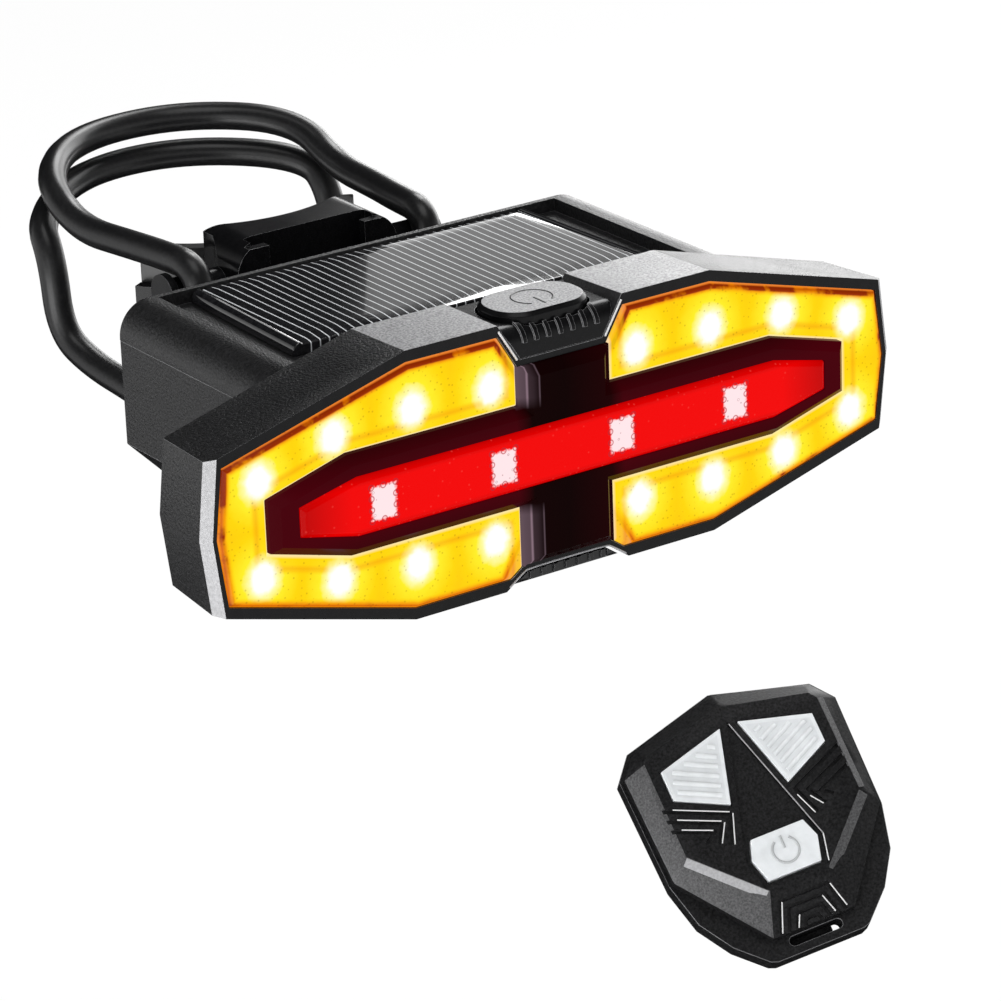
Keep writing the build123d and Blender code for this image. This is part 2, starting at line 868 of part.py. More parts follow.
with BuildPart() as switch_board:
    with BuildSketch(level(pad_underside)):
        with Locations((0, back(cap_centre_depth))):
            Rectangle(2 * switch_board_half_width, 2 * switch_board_half_depth)
    extrude(amount=switch_board_thickness)
    with BuildSketch(level(pad_underside)):
        with Locations((0, back(cap_centre_depth + switch_board_half_depth - switch_leg_size))):
            with GridLocations(2 * switch_leg_half_spacing, 0, 2, 1):
                Rectangle(switch_leg_size, switch_leg_size)
    extrude(amount=-(notch_wall + 2 * fit_gap))
switch_board.part.label = "switch_board"
export_step(switch_board.part, "parts/switch_board.step")

with BuildPart() as tact_switch:
    with BuildSketch(level(switch_bottom)):
        with Locations((0, back(cap_centre_depth))):
            Rectangle(switch_size, switch_size)
    extrude(amount=switch_height)
    with BuildSketch(level(switch_bottom + switch_height)):
        with Locations((0, back(cap_centre_depth))):
            Circle(switch_nub_radius)
    extrude(amount=switch_nub_height)
tact_switch.part.label = "tact_switch"
export_step(tact_switch.part, "parts/tact_switch.step")

with BuildPart() as power_button:
    with BuildSketch(level(cap_underside)):
        with Locations((0, back(cap_centre_depth))):
            RectangleRounded(cap_width, cap_depth, cap_corner_radius)
    extrude(amount=cap_top - cap_underside)
    chamfer(power_button.faces().sort_by(Axis.Z)[-1].edges(), length=cap_chamfer)
    with BuildSketch(level(switch_top + cap_travel + fit_gap)):
        with Locations((0, back(cap_centre_depth))):
            Circle(cap_stem_radius)
    extrude(until=Until.NEXT)
power_button.part.label = "power_button"
export_step(power_button.part, "parts/power_button.step")


# Charging socket and its hinged cover

with BuildPart() as charging_socket:
    with BuildSketch(level(socket_mouth)):
        with Locations((0, back(socket_centre))):
            SlotOverall(socket_width, socket_thickness)
    extrude(amount=socket_depth)
    with BuildSketch(level(socket_mouth)):
        with Locations((0, back(socket_centre))):
            SlotOverall(socket_width - 2 * socket_wall, socket_thickness - 2 * socket_wall)
    extrude(amount=socket_depth - 2 * socket_wall, mode=Mode.SUBTRACT)
    with BuildSketch(level(socket_mouth + socket_depth - socket_wall)):
        with Locations((0, back(socket_centre))):
            Rectangle(socket_blade_width, socket_blade_thickness)
    extrude(amount=-socket_blade_length)
charging_socket.part.label = "charging_socket"
export_step(charging_socket.part, "parts/charging_socket.step")

port_cover_top = -(lower_notch_floor + run_gap)
rib_span = (rib_count - 1) / 2 * rib_pitch + rib_width

with BuildPart() as port_cover:
    with BuildSketch(Plane.YZ):
        with Locations((back(0), -port_cover_face)):
            Rectangle(port_cover_depth, port_cover_face + port_cover_top, align=Align.MIN)
    extrude(amount=notch_half_width, both=True)
    with BuildSketch(across(bezel_depth)):
        Polygon(*notch_points(lower_notch_floor, -1), align=None)
        offset(amount=-run_gap, kind=Kind.INTERSECTION)
    extrude(amount=bezel_depth + overrun, mode=Mode.INTERSECT)
    front_low_edge = port_cover.faces().sort_by(Axis.Y)[0].edges().sort_by(Axis.Z)[0]
    fillet(front_low_edge, radius=port_cover_corner)
    with BuildSketch(Plane.YZ):
        with Locations((back(0), -port_cover_face)):
            Rectangle(2 * rib_height, 2 * (port_cover_face + port_cover_top))
    extrude(amount=rib_span, both=True, mode=Mode.SUBTRACT)
    for x in rib_places:
        with BuildSketch(Plane.YZ.offset(x)):
            with Locations((back(0), port_cover_top)):
                Rectangle(2 * rib_height, port_cover_corner, align=(Align.MIN, Align.MAX))
        extrude(amount=rib_width / 2, both=True)
    with BuildSketch(level(port_cover_top)):
        with Locations((0, back(socket_centre))):
            SlotOverall(port_plug_width, port_plug_thickness)
    extrude(amount=run_gap + port_plug_height)
    with BuildSketch(Plane.YZ):
        with Locations((back(port_cover_depth), -port_cover_face)):
            knuckle_length = port_hinge_depth - port_cover_depth
            Rectangle(knuckle_length, port_cover_face + port_cover_top, align=Align.MIN)
        with Locations((back(port_hinge_depth), -port_hinge_height)):
            Circle(port_hinge_radius)
    extrude(amount=port_hinge_half_length, both=True)
    with BuildSketch(Plane.YZ):
        with Locations((back(port_hinge_depth), -port_hinge_height)):
            Circle(port_pin_radius)
    extrude(amount=port_pin_half_length, both=True)
port_cover.part.label = "port_cover"
export_step(port_cover.part, "parts/port_cover.step")


# Bracket on the post

saddle_radius = post_radius + saddle_pad_thickness
wing_radius = saddle_radius + saddle_wall
peg_y = -(post_radius + peg_reach)
peg_end = block_half_width + peg_length
channel_bottom = -(bracket_half_height - channel_floor)


def saddle_points(reach):
    """Wedge about the post's front that bounds the saddle, out past a reach from the post's axis."""
    side = reach * math.sin(math.radians(saddle_half_angle))
    front = reach * math.cos(math.radians(saddle_half_angle))
    return [(0, 0), (side, -front), (side, -2 * reach), (-side, -2 * reach), (-side, -front)]


with BuildPart() as bracket:
    with BuildSketch(level(-bracket_half_height)):
        Polygon(*[
            (-block_half_width, jaw_y),
            (block_half_width, jaw_y),
            (block_half_width, peg_y),
            (block_rear_half_width, -(post_radius + block_rear_reach)),
            (block_rear_half_width, 0),
            (-block_rear_half_width, 0),
            (-block_rear_half_width, -(post_radius + block_rear_reach)),
            (-block_half_width, peg_y),
        ], align=None)
    extrude(amount=2 * bracket_half_height)
    outer_edges = bracket.edges().filter_by(Axis.Y).filter_by(lambda edge: edge.length < jaw_reach)
    fillet(outer_edges, radius=block_corner_radius)
    with BuildSketch(level(-wing_half_height)):
        Circle(wing_radius)
        Polygon(*saddle_points(2 * wing_radius), align=None, mode=Mode.INTERSECT)
    extrude(amount=2 * wing_half_height)
    for side in (-1, 1):
        with BuildSketch(Plane.YZ.offset(side * block_rear_half_width)):
            with Locations((peg_y, peg_height), (peg_y, -peg_height)):
                Circle(peg_radius)
        extrude(amount=side * (peg_end - block_rear_half_width))
        with BuildSketch(Plane.YZ.offset(side * peg_end)):
            with Locations((peg_y, peg_height), (peg_y, -peg_height)):
                Circle(peg_head_radius)
        extrude(amount=side * peg_head_thickness)
    with BuildSketch(level(-bracket_half_height - overrun)):
        Circle(saddle_radius)
    extrude(amount=2 * (bracket_half_height + overrun), mode=Mode.SUBTRACT)
    with BuildSketch(level(-bracket_half_height - overrun)):
        Rectangle(2 * post_radius, post_radius)
    extrude(amount=2 * (bracket_half_height + overrun), mode=Mode.SUBTRACT)
    with BuildSketch(level(channel_bottom)):
        with Locations((0, jaw_y + jaw_thickness)):
            channel_length = channel_y - jaw_y - jaw_thickness
            Rectangle(2 * channel_half_width, channel_length, align=(Align.CENTER, Align.MIN))
        with Locations((0, jaw_y - overrun)):
            mouth_length = jaw_thickness + 2 * overrun
            Rectangle(2 * mouth_half_width, mouth_length, align=(Align.CENTER, Align.MIN))
    extrude(amount=2 * bracket_half_height, mode=Mode.SUBTRACT)
    with BuildSketch(level(bracket_half_height - jaw_drop)):
        with Locations((0, jaw_y - overrun)):
            Rectangle(2 * block_half_width, jaw_thickness + overrun, align=(Align.CENTER, Align.MIN))
    extrude(amount=2 * jaw_drop, mode=Mode.SUBTRACT)
bracket.part.label = "bracket"
export_step(bracket.part, "parts/bracket.step")

with BuildPart() as saddle_pad:
    with BuildSketch(level(-pad_half_height)):
        Circle(saddle_radius - fit_gap)
        Polygon(*saddle_points(2 * wing_radius), align=None, mode=Mode.INTERSECT)
        Circle(post_radius, mode=Mode.SUBTRACT)
    extrude(amount=2 * pad_half_height)
saddle_pad.part.label = "saddle_pad"
export_step(saddle_pad.part, "parts/saddle_pad.step")


# Rubber strap: one closed ring over the four pegs and twice round the back of the post.
# Its left half runs from the back of the post over the upper peg, down to the lower one and back.

wrap_radius = post_radius + strap_gap + strap_radius
wrap_side = wrap_radius * math.tan(math.pi / 8)
strap_x = peg_end - run_gap - strap_radius
hook_radius = peg_radius + strap_gap + strap_radius
hook_y = peg_y - hook_radius
wrap_share = 0.9

strap_points = [
    (0, wrap_radius, strap_upper_height),
    (-wrap_side, wrap_radius, strap_upper_height),
    (-19.6, 8.1, 15.6),
    (-20.0, -1.0, 11.2),
    (-18.6, -13.0, 11.6),
    (-strap_x, hook_y, peg_height + hook_radius),
    (-strap_x, hook_y, -peg_height - hook_radius - strap_drop),
    (-18.8, -13.0, -8.6),
    (-20.2, -3.0, -7.0),
    (-21.6, 2.6, -3.6),
    (-21.6, 3.6, 6.0),
    (-20.8, 8.0, 10.4),
    (-wrap_side, wrap_radius, strap_lower_height),
    (0, wrap_radius, strap_lower_height),
]
strap_radii = bend_radii(strap_points)
strap_radii[0] = wrap_share * wrap_radius
strap_radii[-1] = wrap_share * wrap_radius
strap_radii[4] = hook_radius
strap_radii[5] = hook_radius
print("strap bend radii:", [round(radius, 1) for radius in strap_radii])

with BuildPart() as rubber_strap:
    with BuildLine() as strap_path:
        FilletPolyline(*strap_points, radius=strap_radii)
    with BuildSketch(Plane(origin=strap_path.line @ 0, z_dir=strap_path.line % 0)):
        Circle(strap_radius)
    sweep(path=strap_path.line)
    mirror(about=Plane.YZ)
rubber_strap.part.label = "rubber_strap"
export_step(rubber_strap.part, "parts/rubber_strap.step")
strap_length = 2 * strap_path.wires()[0].length
tube_volume = math.pi * strap_radius**2 * strap_length
volume_share = rubber_strap.part.volume / tube_volume
print("strap length:", round(strap_length, 1), "volume share:", round(volume_share, 4))


# Remote

azimuth = math.radians(remote_azimuth_degrees)
elevation = math.radians(remote_elevation_degrees)
roll = math.radians(remote_roll_degrees)
remote_normal = Vector(
    math.sin(azimuth) * math.cos(elevation), -math.cos(azimuth) * math.cos(elevation), math.sin(elevation)
)
remote_flat = Vector(math.cos(azimuth), math.sin(azimuth), 0)
remote_right = remote_flat * math.cos(roll) + remote_normal.cross(remote_flat) * math.sin(roll)
remote_face = Plane(
    origin=(remote_across, -remote_forward, -remote_below), x_dir=remote_right, z_dir=remote_normal
)
remote_split = remote_top_height + remote_skirt_height
remote_back = remote_split + remote_base_height
facet_reach = remote_end - remote_top_end
facet_face = Plane(
    origin=remote_face.from_local_coords(Vector(0, -remote_top_end, 0)),
    x_dir=remote_right,
    z_dir=remote_face.z_dir * facet_reach - remote_face.y_dir * remote_top_height,
)

remote_top_points = mirrored([
    (0, remote_top_apex),
    (remote_top_corner_half_width, remote_top_corner),
    (remote_top_half_width, remote_top_corner_low),
    (remote_top_half_width, -remote_top_low),
    (remote_top_end_half_width, -remote_top_end),
])
remote_side_points = mirrored([
    (0, remote_apex),
    (remote_corner_half_width, remote_corner),
    (remote_half_width, remote_corner_low),
    (remote_low_half_width, -remote_low),
    (remote_end_half_width, -remote_end),
])
remote_foot_points = mirrored([
    (0, remote_apex + remote_step),
    (remote_corner_half_width + remote_step, remote_corner + remote_step),
    (remote_half_width + remote_step, remote_corner_low + remote_step),
    (remote_low_half_width + remote_step, -remote_low),
    (remote_foot_high_half_width, -remote_foot_high),
    (remote_foot_middle_half_width, -remote_foot_middle),
    (remote_foot_low_half_width, -remote_foot_low),
    (remote_foot_end_half_width, -remote_foot_end),
])
side_key_points = [
    (remote_key_inner, remote_key_apex),
    (remote_key_low_half_width, 0),
    (remote_key_outer_half_width, remote_key_outer_low),
    (remote_key_outer_half_width, remote_key_outer_high),
]
left_key_points = [(-x, v) for x, v in side_key_points]
power_key_points = mirrored([
    (power_key_half_width, -power_key_high),
    (power_key_middle_half_width, -power_key_middle),
    (power_key_half_width, -power_key_low),
])
dome_places = [(0, -power_key_middle)] + [
    (side * (remote_key_low_half_width + remote_key_outer_half_width) / 2, remote_key_outer_low + dome_rise)
    for side in (-1, 1)
]
remote_screw_places = [
    (-remote_screw_x, remote_screw_high),
    (remote_screw_x, remote_screw_high),
    (0, -remote_screw_low),
]

flange_top = -remote_wall - fit_gap
flange_bottom = flange_top - remote_flange_thickness
keypad_top = flange_bottom - remote_key_travel - fit_gap
keypad_bottom = keypad_top - keypad_thickness
dome_top = keypad_bottom - fit_gap
remote_board_top = dome_top - dome_height
remote_board_bottom = remote_board_top - remote_board_thickness
coin_top = remote_board_bottom - contact_thickness
remote_screw_tip = -remote_split + remote_skirt_height

with BuildPart() as remote_top_shell:
    with BuildSketch(remote_face.offset(-remote_top_height)):
        Polygon(*remote_side_points, align=None)
    with BuildSketch(remote_face):
        Polygon(*remote_top_points, align=None)
    loft(ruled=True)
    with BuildSketch(remote_face.offset(-remote_split)):
        Polygon(*remote_side_points, align=None)
    extrude(amount=remote_skirt_height)
    with BuildSketch(remote_face.offset(-remote_split)):
        Polygon(*remote_top_points, align=None)
    extrude(amount=remote_split - remote_wall, mode=Mode.SUBTRACT)
    with BuildSketch(remote_face.offset(-remote_split)):
        for points in (left_key_points, side_key_points, power_key_points):
            Polygon(*points, align=None)
        offset(amount=key_gap, kind=Kind.INTERSECTION)
    extrude(amount=remote_split + overrun, mode=Mode.SUBTRACT)
    with BuildSketch(remote_face.offset(-remote_split)):
        with Locations(*remote_screw_places):
            Circle(remote_screw_radius + screw_gap)
    extrude(amount=remote_skirt_height + screw_gap, mode=Mode.SUBTRACT)
    with BuildSketch(remote_face):
        Polygon(*mirrored([
            (0, remote_wedge_apex),
            (remote_wedge_half_width, -remote_wedge_middle),
            (remote_wedge_foot_half_width, -remote_wedge_foot),
        ]), align=None)
    extrude(amount=-remote_wedge_depth, mode=Mode.SUBTRACT)
    for index in range(chevron_count):
        step = index * chevron_pitch
        for side in (-1, 1):
            with BuildSketch(remote_face):
                with BuildLine():
                    Polyline(
                        (side * remote_half_width, chevron_high - step),
                        (side * (chevron_inner + step), -chevron_low - step / 2),
                        (side * (chevron_foot + step), -chevron_end + step / 2),
                    )
                trace(line_width=groove_width)
            extrude(amount=-groove_depth, mode=Mode.SUBTRACT)
    for index in range(arch_count):
        with BuildSketch(facet_face):
            with BuildLine():
                arch_corner = arch_half_width - index * arch_step
                arch_foot = arch_foot_half_width - index * arch_foot_step
                arch_high = -arch_drop - index * arch_pitch
                Polyline(
                    (-arch_foot, -arch_length),
                    (-arch_corner, arch_high),
                    (arch_corner, arch_high),
                    (arch_foot, -arch_length),
                )
            trace(line_width=groove_width)
        extrude(amount=-groove_depth, mode=Mode.SUBTRACT)
remote_top_shell.part.label = "remote_top_shell"
export_step(remote_top_shell.part, "parts/remote_top_shell.step")

with BuildPart() as remote_base:
    with BuildSketch(remote_face.offset(-remote_back)):
        Polygon(*remote_foot_points, align=None)
    extrude(amount=remote_base_height)
    with BuildSketch(remote_face.offset(-remote_back + remote_wall)):
        Polygon(*remote_top_points, align=None)
    extrude(amount=remote_base_height, mode=Mode.SUBTRACT)
    with BuildSketch(remote_face.offset(-remote_back - overrun)):
        with Locations((0, -remote_slot_end)):
            SlotOverall(2 * remote_slot_half_length, 2 * remote_slot_radius)
    extrude(amount=remote_back + 2 * overrun, mode=Mode.SUBTRACT)
    with BuildSketch(remote_face.offset(-remote_back - overrun)):
        with Locations(*remote_screw_places):
            Circle(remote_screw_radius + screw_gap)
    extrude(amount=remote_base_height + 2 * overrun, mode=Mode.SUBTRACT)
    with BuildSketch(remote_face.offset(-remote_back - overrun)):
        with Locations(*remote_screw_places):
            Circle(remote_screw_head_radius + fit_gap)
    extrude(amount=overrun + remote_screw_head_height, mode=Mode.SUBTRACT)
remote_base.part.label = "remote_base"
export_step(remote_base.part, "parts/remote_base.step")

for points, name in (
    (left_key_points, "remote_key_left"),
    (side_key_points, "remote_key_right"),
    (power_key_points, "remote_key_power"),
):
    with BuildPart() as remote_key:
        with BuildSketch(remote_face.offset(flange_bottom)):
            Polygon(*points, align=None)
        extrude(amount=remote_key_rise - flange_bottom)
        with BuildSketch(remote_face.offset(flange_bottom)):
            Polygon(*points, align=None)
            offset(amount=remote_flange_width, kind=Kind.INTERSECTION)
        extrude(amount=remote_flange_thickness)
    remote_key.part.label = name
    export_step(remote_key.part, "parts/" + name + ".step")

with BuildPart() as remote_keypad:
    with BuildSketch(remote_face.offset(keypad_bottom)):
        Polygon(*remote_top_points, align=None)
        offset(amount=-fit_gap, kind=Kind.INTERSECTION)
    extrude(amount=keypad_thickness)
remote_keypad.part.label = "remote_keypad"
export_step(remote_keypad.part, "parts/remote_keypad.step")

with BuildPart() as remote_switches:
    with BuildSketch(remote_face.offset(remote_board_top)):
        with Locations(*dome_places):
            Circle(dome_radius)
    extrude(amount=dome_height)
remote_switches.part.label = "remote_switches"
export_step(remote_switches.part, "parts/remote_switches.step")

with BuildPart() as remote_board:
    with BuildSketch(remote_face.offset(remote_board_bottom)):
        Polygon(*remote_top_points, align=None)
        offset(amount=-fit_gap, kind=Kind.INTERSECTION)
    extrude(amount=remote_board_thickness)
remote_board.part.label = "remote_board"
export_step(remote_board.part, "parts/remote_board.step")

with BuildPart() as coin_cell:
    with BuildSketch(remote_face.offset(coin_top)):
        with Locations((0, -coin_centre)):
            Circle(coin_radius)
    extrude(amount=-coin_thickness)
coin_cell.part.label = "coin_cell"
export_step(coin_cell.part, "parts/coin_cell.step")

with BuildPart() as coin_contact:
    with BuildSketch(remote_face.offset(coin_top)):
        with Locations((0, -coin_centre)):
            Rectangle(contact_length, contact_width)
    extrude(amount=contact_thickness)
coin_contact.part.label = "coin_contact"
export_step(coin_contact.part, "parts/coin_contact.step")

with BuildPart() as remote_screws:
    with BuildSketch(remote_face.offset(-remote_back + remote_screw_head_height)):
        with Locations(*remote_screw_places):
            Circle(remote_screw_head_radius)
    extrude(amount=-remote_screw_head_height)
    with BuildSketch(remote_face.offset(-remote_back + remote_screw_head_height)):
        with Locations(*remote_screw_places):
            Circle(remote_screw_radius)
    extrude(amount=remote_back - remote_screw_head_height + remote_screw_tip)
remote_screws.part.label = "remote_screws"
export_step(remote_screws.part, "parts/remote_screws.step")
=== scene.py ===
import math

import bpy
from mathutils import Matrix, Vector


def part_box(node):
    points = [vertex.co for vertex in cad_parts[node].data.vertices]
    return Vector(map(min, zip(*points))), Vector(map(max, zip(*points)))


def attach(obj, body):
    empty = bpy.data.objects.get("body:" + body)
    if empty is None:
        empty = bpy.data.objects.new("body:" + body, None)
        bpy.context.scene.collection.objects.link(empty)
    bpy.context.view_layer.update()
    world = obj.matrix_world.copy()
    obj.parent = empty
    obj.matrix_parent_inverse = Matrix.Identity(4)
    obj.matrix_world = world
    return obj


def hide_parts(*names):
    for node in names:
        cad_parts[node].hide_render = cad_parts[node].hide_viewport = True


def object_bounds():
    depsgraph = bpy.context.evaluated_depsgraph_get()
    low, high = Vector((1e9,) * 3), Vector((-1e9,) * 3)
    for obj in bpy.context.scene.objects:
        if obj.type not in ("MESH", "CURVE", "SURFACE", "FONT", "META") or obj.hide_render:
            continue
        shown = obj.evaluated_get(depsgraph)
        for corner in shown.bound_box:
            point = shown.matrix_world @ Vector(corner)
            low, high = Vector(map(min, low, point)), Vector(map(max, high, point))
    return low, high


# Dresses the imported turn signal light, its bracket, strap and remote. Metres, in the frame of the part:
# +Z runs up the post, the lamp's face looks along -Y and its width lies along X.

bl_info = {
    "name": "Turn signal light looks",
    "version": (1, 0, 0),
    "blender": (4, 5, 0),
    "location": "View3D > Sidebar > Signal light",
    "description": "Builds the visible surfaces of a bicycle turn signal light around its packed part",
    "category": "Object",
}

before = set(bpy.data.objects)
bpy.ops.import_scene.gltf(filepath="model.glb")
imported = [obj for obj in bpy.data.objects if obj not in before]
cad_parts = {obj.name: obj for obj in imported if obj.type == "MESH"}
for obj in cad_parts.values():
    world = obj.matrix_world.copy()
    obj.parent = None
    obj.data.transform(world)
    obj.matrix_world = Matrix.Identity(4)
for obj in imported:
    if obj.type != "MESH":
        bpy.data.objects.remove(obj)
CAD_BOX = [list(corner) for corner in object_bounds()]

MM = 0.001

# Widths of the small rounds on edges, in millimetres

FINE_ROUND, SMALL_ROUND, SOFT_ROUND = 0.10, 0.12, 0.15

# Lamp, in millimetres: its rim's place, and the floor and half width of the bezel's notches

RIM = -80.76
NOTCH_FLOOR, NOTCH_HALF = 11.9, 10.6

# Lens corners in the first quarter of the lamp's face, in millimetres, and the lamps behind it

LENS_TOP, LENS_SHOULDER, LENS_END = (22.05, 15.47), (47.8, 8.59), (48.65, 0)
NOTCH_FOOT, NOTCH_TOP = (7.2, 11.9), (10.0, 16.4)
FRAME_CORNER, FRAME_END = (30.9, 6.28), (41.9, 3.25)
COLUMN_HALF = 6.6
AMBER_LAMPS = ((10.58, 9.68), (21.67, 9.75), (32.65, 8.94), (43.03, 5.99))
LAMP_FLATTENING = 0.86

# Red lamps, in millimetres: their pitch, the inner one's place, the row's shift to the left, and half sizes

RED_PITCH, RED_FIRST, RED_SHIFT = 17.0, 8.6, 1.5
RED_HALF_WIDTH, RED_HALF_HEIGHT = 1.7, 2.1

# Remote, in millimetres and on its own axes: its middle, to its right, up its face and out of its face

TURN, TILT, ROLL = math.radians(-28.2), math.radians(41.8), math.radians(17.3)
REMOTE_MIDDLE = Vector((60.76, -37.95, -79.75))
REMOTE_OUT = Vector((math.sin(TURN) * math.cos(TILT), -math.cos(TURN) * math.cos(TILT), math.sin(TILT)))
REMOTE_FLAT = Vector((math.cos(TURN), math.sin(TURN), 0))
REMOTE_RIGHT = REMOTE_FLAT * math.cos(ROLL) + REMOTE_OUT.cross(REMOTE_FLAT) * math.sin(ROLL)
REMOTE_UP = REMOTE_OUT.cross(REMOTE_RIGHT)
SHELL_HEIGHT = 2.4
KEY_RISE = 0.35
RIB_RADIUS = 0.42


def on_remote(right, up, out=0.0):
    """A place on the remote in millimetres, from its own axes."""
    return REMOTE_MIDDLE + REMOTE_RIGHT * right + REMOTE_UP * up + REMOTE_OUT * out


def height_on_remote(place):
    """How far a place stands out of the remote's face. Both are in millimetres."""
    return (place - REMOTE_MIDDLE).dot(REMOTE_OUT)


# Settings


def colour_setting(name, description, default):
    return bpy.props.FloatVectorProperty(
        name=name, description=description, default=default, subtype="COLOR", size=3, min=0, max=1)


def length_setting(name, description, default, low, high):
    return bpy.props.FloatProperty(
        name=name, description=description, default=default, min=low, max=high,
        unit="LENGTH", subtype="DISTANCE")


class PlasticSettings(bpy.types.PropertyGroup):
    body_colour: colour_setting(
        "Body colour", "Colour of the grained housing plastic", (0.008, 0.008, 0.0085))
    gloss_colour: colour_setting(
        "Gloss colour", "Colour of the smooth rim and the bracket", (0.004, 0.004, 0.0045))
    rubber_colour: colour_setting(
        "Rubber colour", "Colour of the strap, the saddle and the port cover", (0.006, 0.006, 0.0065))
    # Painted highlight: the grey of the bezel's end bands and of the bright edges, in place of the light they
    # catch
    highlight_colour: colour_setting(
        "Highlight colour", "Colour of the light bands at the bezel's ends", (0.34, 0.34, 0.35))
    # Painted highlight: the grey of the top facets beside the button and of the cap's top, in place of the
    # light from above
    facet_highlight_colour: colour_setting(
        "Facet highlight colour", "Colour of the grained facets beside the button and of its top", (0.21, 0.21, 0.215))
    # Painted half light: the dim grey of the remote's left facets and of two of its bands, in place of the
    # light on them
    shade_colour: colour_setting(
        "Shade colour", "Colour of the remote's grained side facets and dim bands", (0.060, 0.060, 0.062))
    # Painted highlight: the grey of the small rounds on moulded edges, in place of the light along them
    edge_highlight_colour: colour_setting(
        "Edge highlight colour", "Colour of the polished edges of the moulded parts", (0.13, 0.13, 0.135))
    grain_size: length_setting(
        "Grain size", "Size of one bump of the housing's moulded grain", 0.36 * MM, 0.05 * MM, 2 * MM)
    edge_width: length_setting(
        "Edge width", "Width of the small round on moulded edges", 0.18 * MM, 0.02 * MM, 1 * MM)


class LensSettings(bpy.types.PropertyGroup):
    amber_colour: colour_setting(
        "Amber colour", "Colour of the lit amber lenses between their lamps", (1.0, 0.68, 0.0))
    halo_colour: colour_setting(
        "Halo colour", "Colour of the amber lens close round a lamp", (1.0, 0.86, 0.02))
    red_colour: colour_setting(
        "Red colour", "Colour of the lit red strip", (0.86, 0.0, 0.0))
    # Painted glow: the dark red that the smoked frame gives off beside the red strip and towards its right
    smoked_glow_colour: colour_setting(
        "Smoked glow colour", "Colour of the dark frame round the red strip", (0.060, 0.0, 0.003))


class SolarSettings(bpy.types.PropertyGroup):
    line_count: bpy.props.IntProperty(
        name="Lines", description="Number of printed lines across the solar module",
        default=40, min=4, max=120)
    line_width: length_setting(
        "Line width", "Width of one printed line", 0.11 * MM, 0.02 * MM, 1 * MM)
    glass_colour: colour_setting(
        "Glass colour", "Colour of the dark coated module", (0.006, 0.006, 0.007))


class StrapSettings(bpy.types.PropertyGroup):
    radius: length_setting(
        "Radius", "Radius of the round rubber strap", 1.9 * MM, 0.5 * MM, 5 * MM)
    reach: length_setting(
        "Reach", "Distance of the strap's middle from the post's axis", 19.45 * MM, 5 * MM, 50 * MM)


class RemoteSettings(bpy.types.PropertyGroup):
    key_colour: colour_setting(
        "Key colour", "Colour of the remote's soft keys", (0.88, 0.91, 0.93))
    rib_count: bpy.props.IntProperty(
        name="Ribs", description="Number of ribs on each side key", default=6, min=1, max=20)
    rib_rise: length_setting(
        "Rib rise", "Height of a rib above its key", 0.16 * MM, 0.0, 1 * MM)
    # The bands carry painted light: a highlight on the lower left, half light on the lower right and on the
    # right
    band_width: length_setting(
        "Band width", "Width of the light band under its top face", 1.3 * MM, 0.1 * MM, 3 * MM)


class StageSettings(bpy.types.PropertyGroup):
    floor_drop: length_setting(
        "Floor drop", "Distance of the floor under the lowest point", 0.12, 0, 2)
    floor_colour: colour_setting(
        "Floor colour", "Colour of the plain floor", (0.82, 0.82, 0.82))
    fill: bpy.props.FloatProperty(
        name="Fill", description="Strength of the even light from all round", default=0.65, min=0, max=5)


# Mesh helpers


def select_only(piece):
    """Makes this object the only selected one, and the active one."""
    bpy.ops.object.select_all(action="DESELECT")
    piece.select_set(True)
    bpy.context.view_layer.objects.active = piece


def copied(node, name):
    """A free copy of a CAD node's mesh, its loose triangles joined into plain faces."""
    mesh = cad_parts[node].data.copy()
    mesh.name = name
    mesh.materials.clear()
    piece = bpy.data.objects.new(name, mesh)
    bpy.context.scene.collection.objects.link(piece)
    select_only(piece)
    bpy.ops.object.mode_set(mode="EDIT")
    bpy.ops.mesh.select_all(action="SELECT")
    bpy.ops.mesh.customdata_custom_splitnormals_clear()
    bpy.ops.mesh.remove_doubles(threshold=0.002 * MM)
    bpy.ops.mesh.dissolve_limited(angle_limit=math.radians(0.5))
    bpy.ops.object.mode_set(mode="OBJECT")
    return piece


def rounded(piece, width, material, edge=None, segments=2, angle=32):
    """Rounds every sharp edge, in a finish of its own where one is given. The width is in millimetres."""
    if not piece.data.materials:
        piece.data.materials.append(material)
    select_only(piece)
    bpy.ops.object.shade_smooth()
    bpy.ops.object.modifier_add(type="BEVEL")
    bevel = piece.modifiers[-1]
    bevel.width = width * MM
    bevel.segments = segments
    bevel.limit_method = "ANGLE"
    bevel.angle_limit = math.radians(angle)
    bevel.harden_normals = True
    if edge:
        piece.data.materials.append(edge)
        bevel.material = len(piece.data.materials) - 1
    bpy.ops.object.modifier_apply(modifier=bevel.name)
    return piece


def tube(name, points, radius, closed=False):
    """A round line through free space, along a smooth curve. Sizes are in millimetres."""
    line = bpy.data.curves.new(name, "CURVE")
    line.dimensions = "3D"
    spline = line.splines.new("NURBS")
    spline.points.add(len(points) - 1)
    for point, place in zip(spline.points, points):
        point.co = (*(part * MM for part in place), 1)
    spline.order_u = min(3, len(points))
    spline.use_cyclic_u = closed
    spline.use_endpoint_u = not closed
    spline.resolution_u = 10
    line.bevel_depth = radius * MM
    line.bevel_resolution = 7 if closed else 3
    line.use_fill_caps = not closed
    piece = bpy.data.objects.new(name, line)
    bpy.context.scene.collection.objects.link(piece)
    select_only(piece)
    bpy.ops.object.convert(target="MESH")
    bpy.ops.object.shade_smooth()
    return piece


